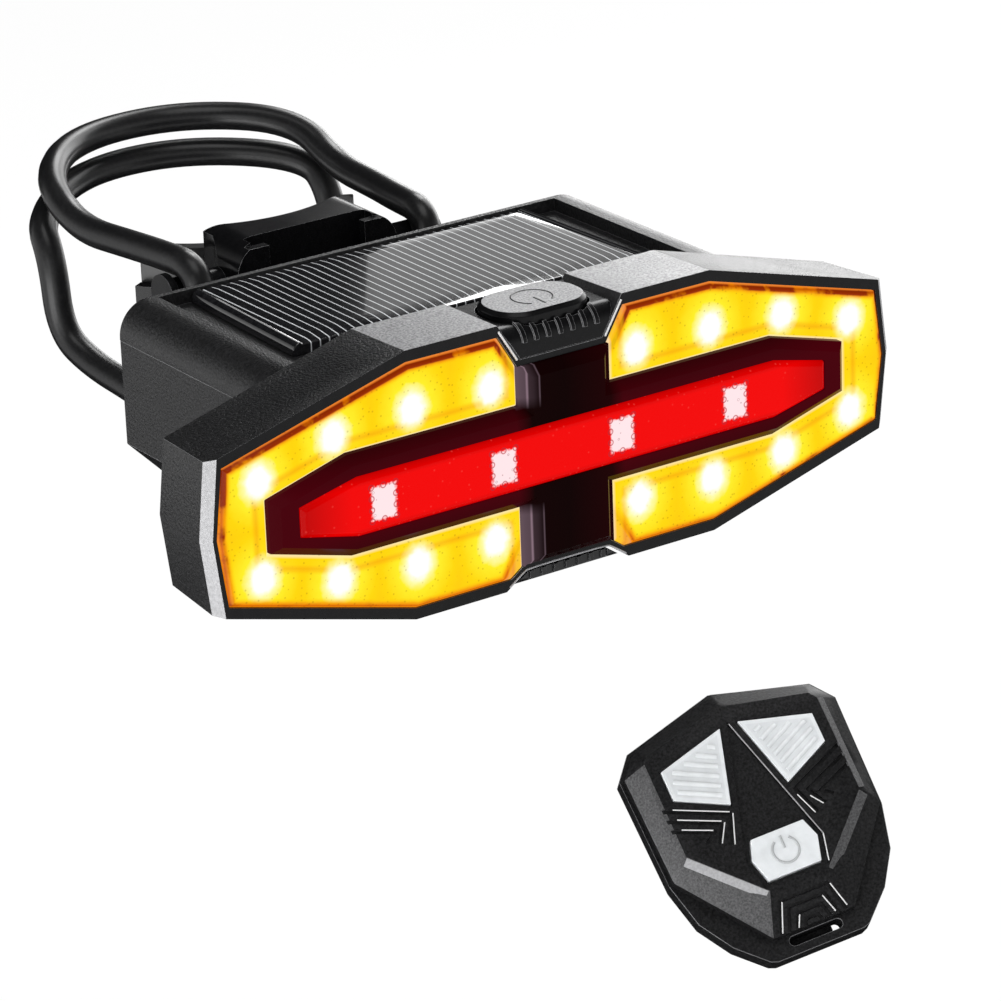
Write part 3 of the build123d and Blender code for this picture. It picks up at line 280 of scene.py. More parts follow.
def power_mark(name, place, radius, line_radius):
    """An open ring with a short bar in its gap. The place function gives each point of the flat mark."""
    first, sweep, steps = 125, 290, 18
    turn = [math.radians(first + sweep * step / steps) for step in range(steps + 1)]
    ring = tube(name, [place(radius * math.cos(a), radius * math.sin(a)) for a in turn], line_radius)
    bar = tube(name + "_bar", [place(0, 0.15 * radius), place(0, 1.12 * radius)], line_radius)
    return joined(ring, bar)


def joined(piece, *others):
    """One object out of several. The first one keeps its name and its materials' order."""
    select_only(piece)
    for other in others:
        other.select_set(True)
    bpy.ops.object.join()
    return piece


def paint_where(piece, material, test):
    """Gives faces a material of their own. The test gets a face's normal and its middle in millimetres."""
    piece.data.materials.append(material)
    index = len(piece.data.materials) - 1
    for face in piece.data.polygons:
        if test(face.normal, face.center / MM):
            face.material_index = index


def select_faces(piece, test):
    """Enters edit mode with these faces selected. The test gets a face."""
    bpy.ops.object.mode_set(mode="EDIT")
    bpy.ops.mesh.select_all(action="DESELECT")
    bpy.ops.mesh.select_mode(type="FACE")
    bpy.ops.object.mode_set(mode="OBJECT")
    for face in piece.data.polygons:
        face.select = test(face)
    bpy.ops.object.mode_set(mode="EDIT")


def finish(piece, body, node):
    """Rides the piece on its body and stands it for a CAD node, which it hides."""
    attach(piece, body)
    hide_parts(node)


def paint_node(node, material):
    """Gives a CAD node that stays in sight a material."""
    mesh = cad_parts[node].data
    mesh.materials.clear()
    mesh.materials.append(material)


# Node helpers


class Value:
    """An output of a shader node. Plain arithmetic with it adds Math nodes to its tree."""

    def __init__(self, node, output=0):
        self.tree = node.id_data
        self.socket = node.outputs[output]

    def math(self, operation, *terms):
        node = new_node(self.tree, "ShaderNodeMath", operation=operation)
        for socket, term in zip(node.inputs, terms):
            feed(socket, term)
        return Value(node)

    def __add__(self, other):
        return self.math("ADD", self, other)

    def __sub__(self, other):
        return self.math("SUBTRACT", self, other)

    def __rsub__(self, other):
        return self.math("SUBTRACT", other, self)

    def __mul__(self, other):
        return self.math("MULTIPLY", self, other)

    def __truediv__(self, other):
        return self.math("DIVIDE", self, other)

    def __rtruediv__(self, other):
        return self.math("DIVIDE", other, self)

    def __abs__(self):
        return self.math("ABSOLUTE", self)

    def fraction(self):
        return self.math("FRACT", self)

    def ramp(self, *stops):
        """A colour ramp over this value. Each stop is a place and a colour or a grey level."""
        node = new_node(self.tree, "ShaderNodeValToRGB")
        elements = node.color_ramp.elements
        while len(elements) > 1:
            elements.remove(elements[-1])
        for index, (place, colour) in enumerate(stops):
            element = elements[0] if index == 0 else elements.new(place)
            element.position = place
            element.color = (colour, colour, colour, 1) if isinstance(colour, (int, float)) else (*colour, 1)
        feed(node.inputs[0], self)
        return Value(node)


def feed(socket, value):
    """Links a value to an input, or sets a plain number, colour or vector on it."""
    if isinstance(value, Value):
        value.tree.links.new(value.socket, socket)
    elif socket.type == "RGBA":
        socket.default_value = (*value, 1)
    else:
        socket.default_value = value


def dress(node, **values):
    """Sets some of a node's properties and inputs."""
    for key, value in values.items():
        if hasattr(node, key):
            setattr(node, key, value)
        else:
            feed(node.inputs[key.replace("_", " ")], value)
    return node


def new_node(tree, kind, **values):
    """A new node with some of its properties and inputs set."""
    return dress(tree.nodes.new(kind), **values)


def noise(place, **values):
    """Soft noise over a place."""
    return Value(new_node(place.tree, "ShaderNodeTexNoise", Vector=place, **values), "Fac")


def cells(place, **values):
    """The distance from the nearest of many scattered points."""
    return Value(new_node(place.tree, "ShaderNodeTexVoronoi", Vector=place, **values), "Distance")


def least(first, *others):
    """The least of several values."""
    for other in others:
        first = first.math("MINIMUM", first, other)
    return first


def most(first, *others):
    """The greatest of several values."""
    for other in others:
        first = first.math("MAXIMUM", first, other)
    return first


def mixed(mask, first, second, blend="MIX"):
    """A colour between two, by a mask. At least one of the three is a value."""
    tree = next(part.tree for part in (mask, first, second) if isinstance(part, Value))
    node = new_node(tree, "ShaderNodeMix", data_type="RGBA", blend_type=blend)
    for index, part in ((0, mask), (6, first), (7, second)):
        feed(node.inputs[index], part)
    return Value(node, 2)


def shader_mix(mask, first, second):
    """A surface between two, by a mask."""
    node = new_node(mask.tree, "ShaderNodeMixShader")
    for socket, part in zip(node.inputs, (mask, first, second)):
        feed(socket, part)
    return Value(node)


def rays_of(tree, *kinds):
    """One where a ray is of one of these kinds, and zero elsewhere."""
    path = new_node(tree, "ShaderNodeLightPath")
    return most(*(Value(path, f"Is {kind} Ray") for kind in kinds))


def in_millimetres(tree):
    """Object coordinates in millimetres."""
    place = Value(new_node(tree, "ShaderNodeTexCoord"), "Object")
    return Value(new_node(tree, "ShaderNodeVectorMath", operation="SCALE", Scale=1 / MM, Vector=place))


def parts_of(place):
    """The three parts of a place."""
    node = new_node(place.tree, "ShaderNodeSeparateXYZ", Vector=place)
    return [Value(node, index) for index in range(3)]


def new_group(name, inputs, outputs):
    """An empty shader node group with named number inputs and typed outputs."""
    tree = bpy.data.node_groups.new(name, "ShaderNodeTree")
    for label, value in inputs:
        socket = tree.interface.new_socket(label, in_out="INPUT", socket_type="NodeSocketFloat")
        socket.default_value = value
    for label, kind in outputs:
        tree.interface.new_socket(label, in_out="OUTPUT", socket_type=kind)
    return tree, tree.nodes.new("NodeGroupInput"), tree.nodes.new("NodeGroupOutput")


def grain_group():
    """Moulded grain: small rounded bumps, and slow changes of gloss over the surface."""
    name = "Moulded grain"
    if name in bpy.data.node_groups:
        return bpy.data.node_groups[name]
    tree, entry, leave = new_group(
        name,
        [("Size mm", 0.3), ("Relief mm", 0.02), ("Roughness", 0.45)],
        [("Normal", "NodeSocketVector"), ("Roughness", "NodeSocketFloat"), ("Speckle", "NodeSocketFloat")],
    )
    place = in_millimetres(tree)
    grain = noise(place, Scale=1 / Value(entry, "Size mm"), Detail=2, Roughness=0.6)
    relief = Value(entry, "Relief mm") * MM
    bump = new_node(tree, "ShaderNodeBump", Strength=1, Distance=relief, Height=grain)
    change = (noise(place, Scale=0.12, Detail=3) - 0.5) * 0.16
    dress(leave, Normal=Value(bump), Roughness=Value(entry, "Roughness") + change, Speckle=grain)
    return tree


def lens_group():
    """Distances on the lamp's face, in millimetres: from its outline, from the dark frame and from a lamp."""
    name = "Lens distances"
    if name in bpy.data.node_groups:
        return bpy.data.node_groups[name]
    tree, _, leave = new_group(
        name, [],
        [("Outline", "NodeSocketFloat"), ("Frame", "NodeSocketFloat"), ("Lamp", "NodeSocketFloat")],
    )
    x, _, z = parts_of(in_millimetres(tree))
    across, high = abs(x), abs(z)

    def line(start, end):
        """Distance inside the straight edge between two corners of the first quarter."""
        run, rise = end[0] - start[0], end[1] - start[1]
        length = math.hypot(run, rise)
        normal = (-rise / length, run / length)
        reach = normal[0] * start[0] + normal[1] * start[1]
        return reach - (across * normal[0] + high * normal[1])

    outline = least(
        line(LENS_TOP, LENS_SHOULDER),
        LENS_TOP[1] - high,
        line(LENS_SHOULDER, LENS_END),
        line(NOTCH_FOOT, NOTCH_TOP),
    )
    arm = most(line(FRAME_CORNER, FRAME_END) * -1, high - FRAME_CORNER[1], across - FRAME_END[0])
    dark = least(arm, across - COLUMN_HALF)
    flat = Value(new_node(tree, "ShaderNodeCombineXYZ", X=across, Y=high * LAMP_FLATTENING))
    lamps = []
    for right, up in AMBER_LAMPS:
        gap = new_node(tree, "ShaderNodeVectorMath", operation="DISTANCE", Vector=flat)
        gap.inputs[1].default_value = (right, up * LAMP_FLATTENING, 0)
        lamps.append(Value(gap, "Value"))
    dress(leave, Outline=outline, Frame=dark, Lamp=least(*lamps))
    return tree


def new_material(name):
    """A material, its node tree and its surface shader."""
    made = bpy.data.materials.new(name)
    made.use_nodes = True
    return made, made.node_tree, made.node_tree.nodes["Principled BSDF"]


def grained(name, colour, size, relief, roughness, specular=0.5, coat=0.0, speckle=0.25):
    """Plastic or rubber with a moulded grain. Sizes are in millimetres."""
    if name in bpy.data.materials:
        return bpy.data.materials[name]
    made, tree, surface = new_material(name)
    group = new_node(
        tree, "ShaderNodeGroup", node_tree=grain_group(), Size_mm=size, Relief_mm=relief, Roughness=roughness)
    lighter = tuple(min(1, part * (1 + 2 * speckle) + 0.01 * speckle) for part in colour)
    darker = tuple(part * (1 - speckle) for part in colour)
    dress(
        surface,
        Base_Color=Value(group, "Speckle").ramp((0.3, darker), (0.7, lighter)),
        Roughness=Value(group, "Roughness"),
        Normal=Value(group, "Normal"),
        Specular_IOR_Level=specular,
        Coat_Weight=coat,
        Coat_Roughness=0.06,
    )
    return made


# Moulded finishes: the material's name, its colour setting, the grain's own size in millimetres, the share of
# the grain size setting added to it, its relief in millimetres, roughness, specular level and speckle

# The facet, bright, edge and band finishes are painted highlights and the shade finish is painted half light:
# lighter copies of the black plastic on faces that catch the lamps
MOULDED = {
    "body": ("Grained black plastic", "body_colour", 0, 1.0, 0.085, 0.36, 0.38, 0.45),
    "smooth": ("Smooth black plastic", "gloss_colour", 0.9, 0, 0.004, 0.24, 0.16, 0.1),
    "rubber": ("Black rubber", "rubber_colour", 0.5, 0, 0.008, 0.32, 0.38, 0.2),
    "facet": ("Grey grained facet", "facet_highlight_colour", 0, 0.8, 0.025, 0.42, 0.5, 0.5),
    "shade": ("Dark grained facet", "shade_colour", 0, 0.8, 0.02, 0.42, 0.3, 0.4),
    "remote": ("Fine black plastic", "body_colour", 0, 1.0, 0.03, 0.42, 0.13, 0.5),
    "bright": ("Bright edge", "highlight_colour", 0.9, 0, 0.004, 0.26, 0.6, 0.1),
    "edge": ("Polished edge", "edge_highlight_colour", 0.9, 0, 0.004, 0.26, 0.6, 0.1),
    "band": ("Light end band", "highlight_colour", 0.35, 0, 0.02, 0.34, 0.5, 0.12),
}


def moulded(key):
    """One of the moulded finishes, with its colour and grain from the settings."""
    look = bpy.context.scene.signal_plastic
    name, colour, size, share, relief, roughness, specular, speckle = MOULDED[key]
    size += share * look.grain_size / MM
    return grained(name, getattr(look, colour), size, relief, roughness, specular=specular, speckle=speckle)


def metal(name, colour, roughness):
    """Plain metal with fine brushing."""
    made, tree, surface = new_material(name)
    stretch = new_node(tree, "ShaderNodeVectorMath", operation="MULTIPLY", Vector=in_millimetres(tree))
    stretch.inputs[1].default_value = (0.3, 4, 4)
    streak = noise(Value(stretch), Scale=3, Detail=2)
    darker = tuple(0.8 * part for part in colour)
    dress(
        surface,
        Base_Color=streak.ramp((0.3, darker), (0.7, colour)),
        Roughness=streak.ramp((0.2, roughness), (0.8, roughness + 0.15)),
        Metallic=1,
    )
    return made


def lit(surface, colour, skin, roughness, specular):
    """Gives a surface light of its own under a smooth dark skin."""
    dress(
        surface,
        Emission_Color=colour,
        Emission_Strength=1,
        Base_Color=skin,
        Roughness=roughness,
        Specular_IOR_Level=specular,
    )


# Operators


class SignalBezel(bpy.types.Operator):
    """Flared bezel with rounded edges, a smooth rim, and painted highlights on its edges, top facets, notches
    and a band at each end
    """

    bl_idname = "signal.bezel"
    bl_label = "Bezel"

    def notch_lines(self):
        """Thin lines of painted highlight along both notches of the rim."""
        low = [(8.6, -16.42), (6.5, -14.96), (5.8, -14.62)]
        high = [(8.9, 16.15), (6.4, 12.1)]
        left_half = [(-right, RIM, up) for right, up in low]
        right_half = [(right, RIM, up) for right, up in reversed(low)]
        low_radius, high_radius = 0.12, 0.14
        lines = [tube("notch_line", left_half + right_half, low_radius)]
        for side in (-1, 1):
            lines.append(tube("notch_line", [(side * right, RIM, up) for right, up in high], high_radius))
        lines[0].data.materials.append(moulded("bright"))
        return joined(*lines)

    def execute(self, context):
        width = context.scene.signal_plastic.edge_width / MM
        # The small rounds get a painted highlight
        piece = rounded(copied("front_bezel", "bezel"), width, moulded("body"), moulded("edge"))
        wall, bevel, band_start, facet_start, facet_end, facet_floor = RIM + 6, RIM + 0.3, 48, 9, 22, 16
        paint_where(piece, moulded("smooth"), lambda normal, at: normal.y < -0.85 or (
            abs(normal.z) > 0.3 and at.y < wall and abs(at.z) < NOTCH_FLOOR))
        # Painted highlight: a light band on the chamfer at each end, in place of the light it catches
        paint_where(piece, moulded("band"), lambda normal, at: (
            abs(normal.x) > 0.5 and -0.85 < normal.y < -0.5 and abs(at.x) > band_start))
        # Painted highlight: the top facets beside the button are grey, in place of the light from above
        paint_where(piece, moulded("facet"), lambda normal, at: (
            normal.z > 0.95 and facet_start < abs(at.x) < facet_end and at.z > facet_floor))
        # Painted highlight: pale slivers on the rim's bevel at both notches
        paint_where(piece, moulded("bright"), lambda normal, at: (
            -0.95 < normal.y < -0.1 and at.y < bevel
            and abs(at.z) > NOTCH_FLOOR and abs(at.x) < NOTCH_HALF))
        # Thin tubes of painted highlight along the notches
        joined(piece, self.notch_lines())
        finish(piece, "lamp", "front_bezel")
        return {"FINISHED"}


class SignalHousing(bpy.types.Operator):
    """Rear housing and top cover of grained plastic with rounded edges"""

    bl_idname = "signal.housing"
    bl_label = "Housing"

    def execute(self, context):
        width = context.scene.signal_plastic.edge_width / MM
        for node, name in (("rear_housing", "housing"), ("top_cover", "cover")):
            # The small rounds get a painted highlight
            piece = rounded(copied(node, name), width, moulded("body"), moulded("edge"))
            finish(piece, "lamp", node)
        return {"FINISHED"}


class SignalLenses(bpy.types.Operator):
    """Lit amber lenses, smoked frame with a painted glow and sheen, and red strip"""

    bl_idname = "signal.lenses"
    bl_label = "Lenses"

    def amber(self, look):
        """White over each lamp, amber between them and a dark broken line along the outline."""
        made, tree, surface = new_material("Lit amber lens")
        group = new_node(tree, "ShaderNodeGroup", node_tree=lens_group())
        place = in_millimetres(tree)
        lamp_reach, rim_reach, frame_reach = 8, 3, 4
        shift = (noise(place, Scale=0.9, Detail=2) - 0.5) * 1.1
        lamp = (Value(group, "Lamp") + shift * 0.8) / lamp_reach
        glow = lamp.ramp(
            (0.0, (1, 1, 1)), (0.17, (1, 1, 1)), (0.25, (1, 0.97, 0.40)), (0.36, look.halo_colour),
            (0.62, look.amber_colour), (1.0, (0.98, 0.56, 0.0)))
        rim = Value(group, "Outline") / rim_reach
        band = rim.ramp(
            (0.0, (0.85, 0.30, 0.08)), (0.06, (0.80, 0.20, 0.02)), (0.11, (0.20, 0.012, 0.0)),
            (0.24, (0.28, 0.020, 0.0)), (0.30, (0.85, 0.25, 0.0)), (0.50, look.amber_colour))
        warm = rim.ramp(
            (0.0, (0.85, 0.30, 0.08)), (0.06, (0.90, 0.26, 0.0)), (0.14, (0.62, 0.12, 0.0)),
            (0.22, (0.88, 0.30, 0.0)), (0.45, look.amber_colour))
        _, _, z = parts_of(place)
        breaks = noise(place, Scale=0.35, Detail=3) - z * 0.012
        band = mixed(breaks.ramp((0.40, 0.0), (0.50, 0.75), (0.60, 1.0)), band, warm)
        inward = (rim + shift * 0.12).ramp((0.26, 0.0), (0.48, 1.0))
        colour = mixed(inward, band, glow)
        near = Value(group, "Frame") / frame_reach
        inner = near.ramp(
            (0.0, (1.0, 0.80, 0.45)), (0.07, (1.0, 0.80, 0.45)), (0.13, look.amber_colour),
            (0.30, (1.0, 0.66, 0.0)), (0.42, (0.88, 0.36, 0.0)), (0.52, (0.95, 0.50, 0.0)),
            (0.62, look.amber_colour))
        strength = near.ramp((0.0, 0.9), (0.10, 0.75), (0.5, 0.55), (0.62, 0.0))
        far = lamp.ramp((0.20, 0.0), (0.34, 1.0))
        colour = mixed(strength * far, colour, inner)
        dots = cells(place, Scale=1.25, Randomness=0.75).ramp((0.10, 0.72), (0.22, 1.0))
        colour = mixed(1.0, colour, most(dots, 1 - far), blend="MULTIPLY")
        lit(surface, colour, (0.04, 0.008, 0.0), 0.16, 0.06)
        return made

    def red(self, look):
        """A row of pale lamps, each a block of small rings, in a red strip with bubbles."""
        made, tree, surface = new_material("Lit red strip")
        place = in_millimetres(tree)
        x, _, z = parts_of(place)
        across, high = abs(x), abs(z)
        turn = (abs(x + RED_SHIFT) - RED_FIRST) / RED_PITCH + 0.5
        local = (turn.fraction() - 0.5) * RED_PITCH
        box = most(abs(local) - RED_HALF_WIDTH, high - RED_HALF_HEIGHT)
        cell = new_node(tree, "ShaderNodeCombineXYZ")
        ring_pitches, ring_starts = (1.7, 1.4), (0.5, 0.0)
        for socket, value, pitch, start in zip(cell.inputs, (local, z), ring_pitches, ring_starts):
            feed(socket, ((value / pitch + start).fraction() - 0.5) * pitch)
        reach = new_node(tree, "ShaderNodeVectorMath", operation="LENGTH", Vector=Value(cell))
        rings = Value(reach, "Value").ramp((0.22, 0.0), (0.30, 0.75), (0.38, 0.75), (0.46, 0.0))
        rings = rings * abs(box).ramp((0.50, 1.0), (0.56, 0.0))
        box = box + (noise(place, Scale=2.2, Detail=2) - 0.5) * 0.8
        bubbles = cells(place, Scale=1.1, Randomness=0.8)
        ring = bubbles.ramp((0.14, 1.0), (0.19, 0.42), (0.24, 1.0))
        lamp = mixed(1.0, (1.0, 0.80, 0.83), ring, blend="MULTIPLY")
        half_width, half_height = 38.3, 3.7
        fade = (high / half_height).ramp(
            (0.0, look.red_colour), (0.7, look.red_colour), (1.0, (0.50, 0.0, 0.0)))
        ends = (across / half_width).ramp((0.0, 1.0), (0.82, 1.0), (1.0, 0.55))
        strip = mixed(1.0, fade, ends, blend="MULTIPLY")
        strip = mixed(bubbles.ramp((0.10, 0.25), (0.18, 0.0)), strip, (1.0, 0.10, 0.08))
        colour = mixed((box + 0.5).ramp((0.30, 1.0), (0.62, 0.0)), strip, lamp)
        colour = mixed(rings, colour, (0.42, 0.02, 0.03))
        lit(surface, colour, (0.05, 0.0, 0.0), 0.14, 0.05)
        return made

    def smoked(self, look):
        """Nearly black, with a painted red glow beside the strip and towards the right, and painted pale
        sheen lines on the walls at the left of the column.
        """
        made, tree, surface = new_material("Smoked lens")
        x, _, z = parts_of(in_millimetres(tree))
        across, high = abs(x), abs(z)
        strip_edge, glow_reach, column, sheen_start, sheen_reach = 3.2, 5, 12, 7.6, 5
        # Painted glow: red near the strip outside the column, and a faint red rising towards the right
        near = ((high - strip_edge) / glow_reach).ramp((0.0, 1.0), (0.35, 0.75), (1.0, 0.0))
        right = ((x + column / 2) / column).ramp((0.0, 0.25), (0.45, 0.15), (1.0, 1.0))
        outer = (across / column).ramp((0.45, 0.0), (0.65, 1.0))
        colour = mixed(most(near * outer, right * 0.18), (0.001, 0.0, 0.0), look.smoked_glow_colour)
        # Painted sheen: pale lines on the walls at the left of the column, away from the strip
        wall = ((x + sheen_start) / sheen_reach).ramp(
            (0.0, 0.0), (0.06, 0.0), (0.10, 0.42), (0.34, 0.30), (0.37, 0.9), (0.40, 0.12), (0.62, 0.02),
            (0.66, 0.35), (0.69, 0.0))
        away = (high / column).ramp((0.50, 0.0), (0.62, 1.0))
        colour = mixed(wall * away, colour, (0.30, 0.20, 0.25))
        lit(surface, colour, (0.003, 0.001, 0.001), 0.09, 0.012)
        return made

    def execute(self, context):
        look = context.scene.signal_lens
        amber = self.amber(look)
        for node in ("amber_lens_left", "amber_lens_right"):
            piece = rounded(copied(node, node.replace("lens", "glass")), SMALL_ROUND, amber)
            finish(piece, "lamp", node)
        piece = rounded(copied("smoked_lens", "smoked_glass"), FINE_ROUND, self.smoked(look))
        finish(piece, "lamp", "smoked_lens")
        piece = rounded(copied("red_lens_strip", "red_glass"), SOFT_ROUND, self.red(look))
        finish(piece, "lamp", "red_lens_strip")
        return {"FINISHED"}


class SignalSolar(bpy.types.Operator):
    """Glossy solar module with printed lines"""

    bl_idname = "signal.solar"
    bl_label = "Solar module"

    def coat(self, look):
        """Dark glass over fine printed lines, which stop short of both ends."""
        made, tree, surface = new_material("Solar module")
        place = in_millimetres(tree)
        x, _, _ = parts_of(place)
        low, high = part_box("solar_cover")
        bare_end = 1.5
        pitch = (high.x - low.x) / look.line_count / MM
        share = look.line_width / MM / pitch
        wave = abs((x / pitch).fraction() - 0.5)
        line = wave.ramp((max(0.0, 0.5 - share), 0.0), (min(0.995, 0.5 - share / 2), 1.0))
        inside = high.x / MM - bare_end - abs(x)
        line = line * inside.math("GREATER_THAN", inside, 0)
        dark = noise(place, Scale=1.4, Detail=2).ramp((0.3, look.glass_colour), (0.8, (0.018, 0.018, 0.02)))
        dress(
            surface,
            Base_Color=mixed(line, dark, (0.70, 0.72, 0.74)),
            Roughness=0.10,
            Specular_IOR_Level=0.5,
            Coat_Weight=1.0,
            Coat_Roughness=0.03,
        )
        return made

    def execute(self, context):
        piece = copied("solar_cover", "solar_glass")
        least_area = 800 * MM * MM
        select_faces(piece, lambda face: face.normal.z > 0.9 and face.area > least_area)
        crown_steps = ((0.35, 0.09), (1.7, 0.20), (0.6, 0.035), (0.6, 0.01))
        bpy.ops.transform.translate(value=(0, 0, -MM * sum(rise for _, rise in crown_steps)))
        for width, rise in crown_steps:
            bpy.ops.mesh.inset(thickness=width * MM, depth=rise * MM)
        bpy.ops.object.mode_set(mode="OBJECT")
        rounded(piece, 0.22, self.coat(context.scene.signal_solar), segments=3, angle=25)
        finish(piece, "lamp", "solar_cover")
        return {"FINISHED"}


class SignalButton(bpy.types.Operator):
    """Ribbed pad, power cap with its ring mark, and the port cover"""

    bl_idname = "signal.button"
    bl_label = "Button"

    def execute(self, context):
        # The pad's rounded rib edges get a painted highlight
        piece = rounded(copied("button_pad", "ribbed_pad"), FINE_ROUND, moulded("smooth"), moulded("bright"))
        finish(piece, "lamp", "button_pad")
        piece = rounded(copied("power_button", "power_cap"), SMALL_ROUND, moulded("smooth"))
        lowest, middle, top, ring, line = 16, -75.01, 16.88, 2.55, 0.19
        # Painted highlight: the cap's top is grey, in place of the light from above
        paint_where(piece, moulded("facet"), lambda normal, at: normal.z > 0.9 and at.z > lowest)
        mark = power_mark("mark", lambda right, up: (-right, middle - up, top), ring, line)
        mark.data.materials.append(moulded("rubber"))
        joined(piece, mark)
        finish(piece, "power_button", "power_button")
        # The small rounds get a painted highlight
        piece = rounded(copied("port_cover", "charging_flap"), FINE_ROUND, moulded("rubber"), moulded("edge"))
        finish(piece, "port_cover", "port_cover")
        return {"FINISHED"}


class SignalBracket(bpy.types.Operator):
    """Glossy bracket with its saddle pad"""

    bl_idname = "signal.bracket"
    bl_label = "Bracket"

    def execute(self, context):
        width = context.scene.signal_plastic.edge_width / MM
        # The small rounds get a painted highlight
        piece = rounded(copied("bracket", "clamp_bracket"), width, moulded("smooth"), moulded("edge"))
        bevel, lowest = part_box("bracket")[0].y / MM + 0.25, 4
        # Painted highlight: pale bevels along the bracket's upper front
        paint_where(piece, moulded("bright"), lambda normal, at: (
            -0.95 < normal.y < -0.1 and at.y < bevel and at.z > lowest))
        finish(piece, "bracket", "bracket")
        piece = rounded(copied("saddle_pad", "saddle"), width, moulded("rubber"))
        finish(piece, "bracket", "saddle_pad")
        return {"FINISHED"}


class SignalStrap(bpy.types.Operator):
    """Round rubber strap from the bracket's pegs round the post"""

    bl_idname = "signal.strap"
    bl_label = "Strap"

    def execute(self, context):
        look = context.scene.signal_strap
        reach = look.reach / MM
        flank = reach * math.tan(math.pi / 8)
        half = [
            (-flank, reach, 16.2),
            (-reach, flank, 15.8),
            (-20.0, -1.0, 11.2),
            (-18.6, -13.0, 11.6),
            (-17.8, -18.6, 11.65),
            (-17.2, -26.5, 11.7),
            (-17.2, -26.5, 3.7),
            (-17.2, -26.5, -5.45),
            (-17.2, -26.5, -13.45),
            (-18.1, -19.0, -10.75),
            (-18.8, -13.0, -8.6),
            (-20.2, -3.0, -7.0),
            (-21.6, 2.6, -3.6),
            (-21.6, 3.6, 6.0),
            (-20.8, 8.0, 10.4),
            (-flank, reach, 11.2),
        ]
        points = half + [(-x, y, z) for x, y, z in reversed(half)]
        strap = tube("strap", points, look.radius / MM, closed=True)
        strap.data.materials.append(moulded("rubber"))
        finish(strap, "bracket", "rubber_strap")
        return {"FINISHED"}


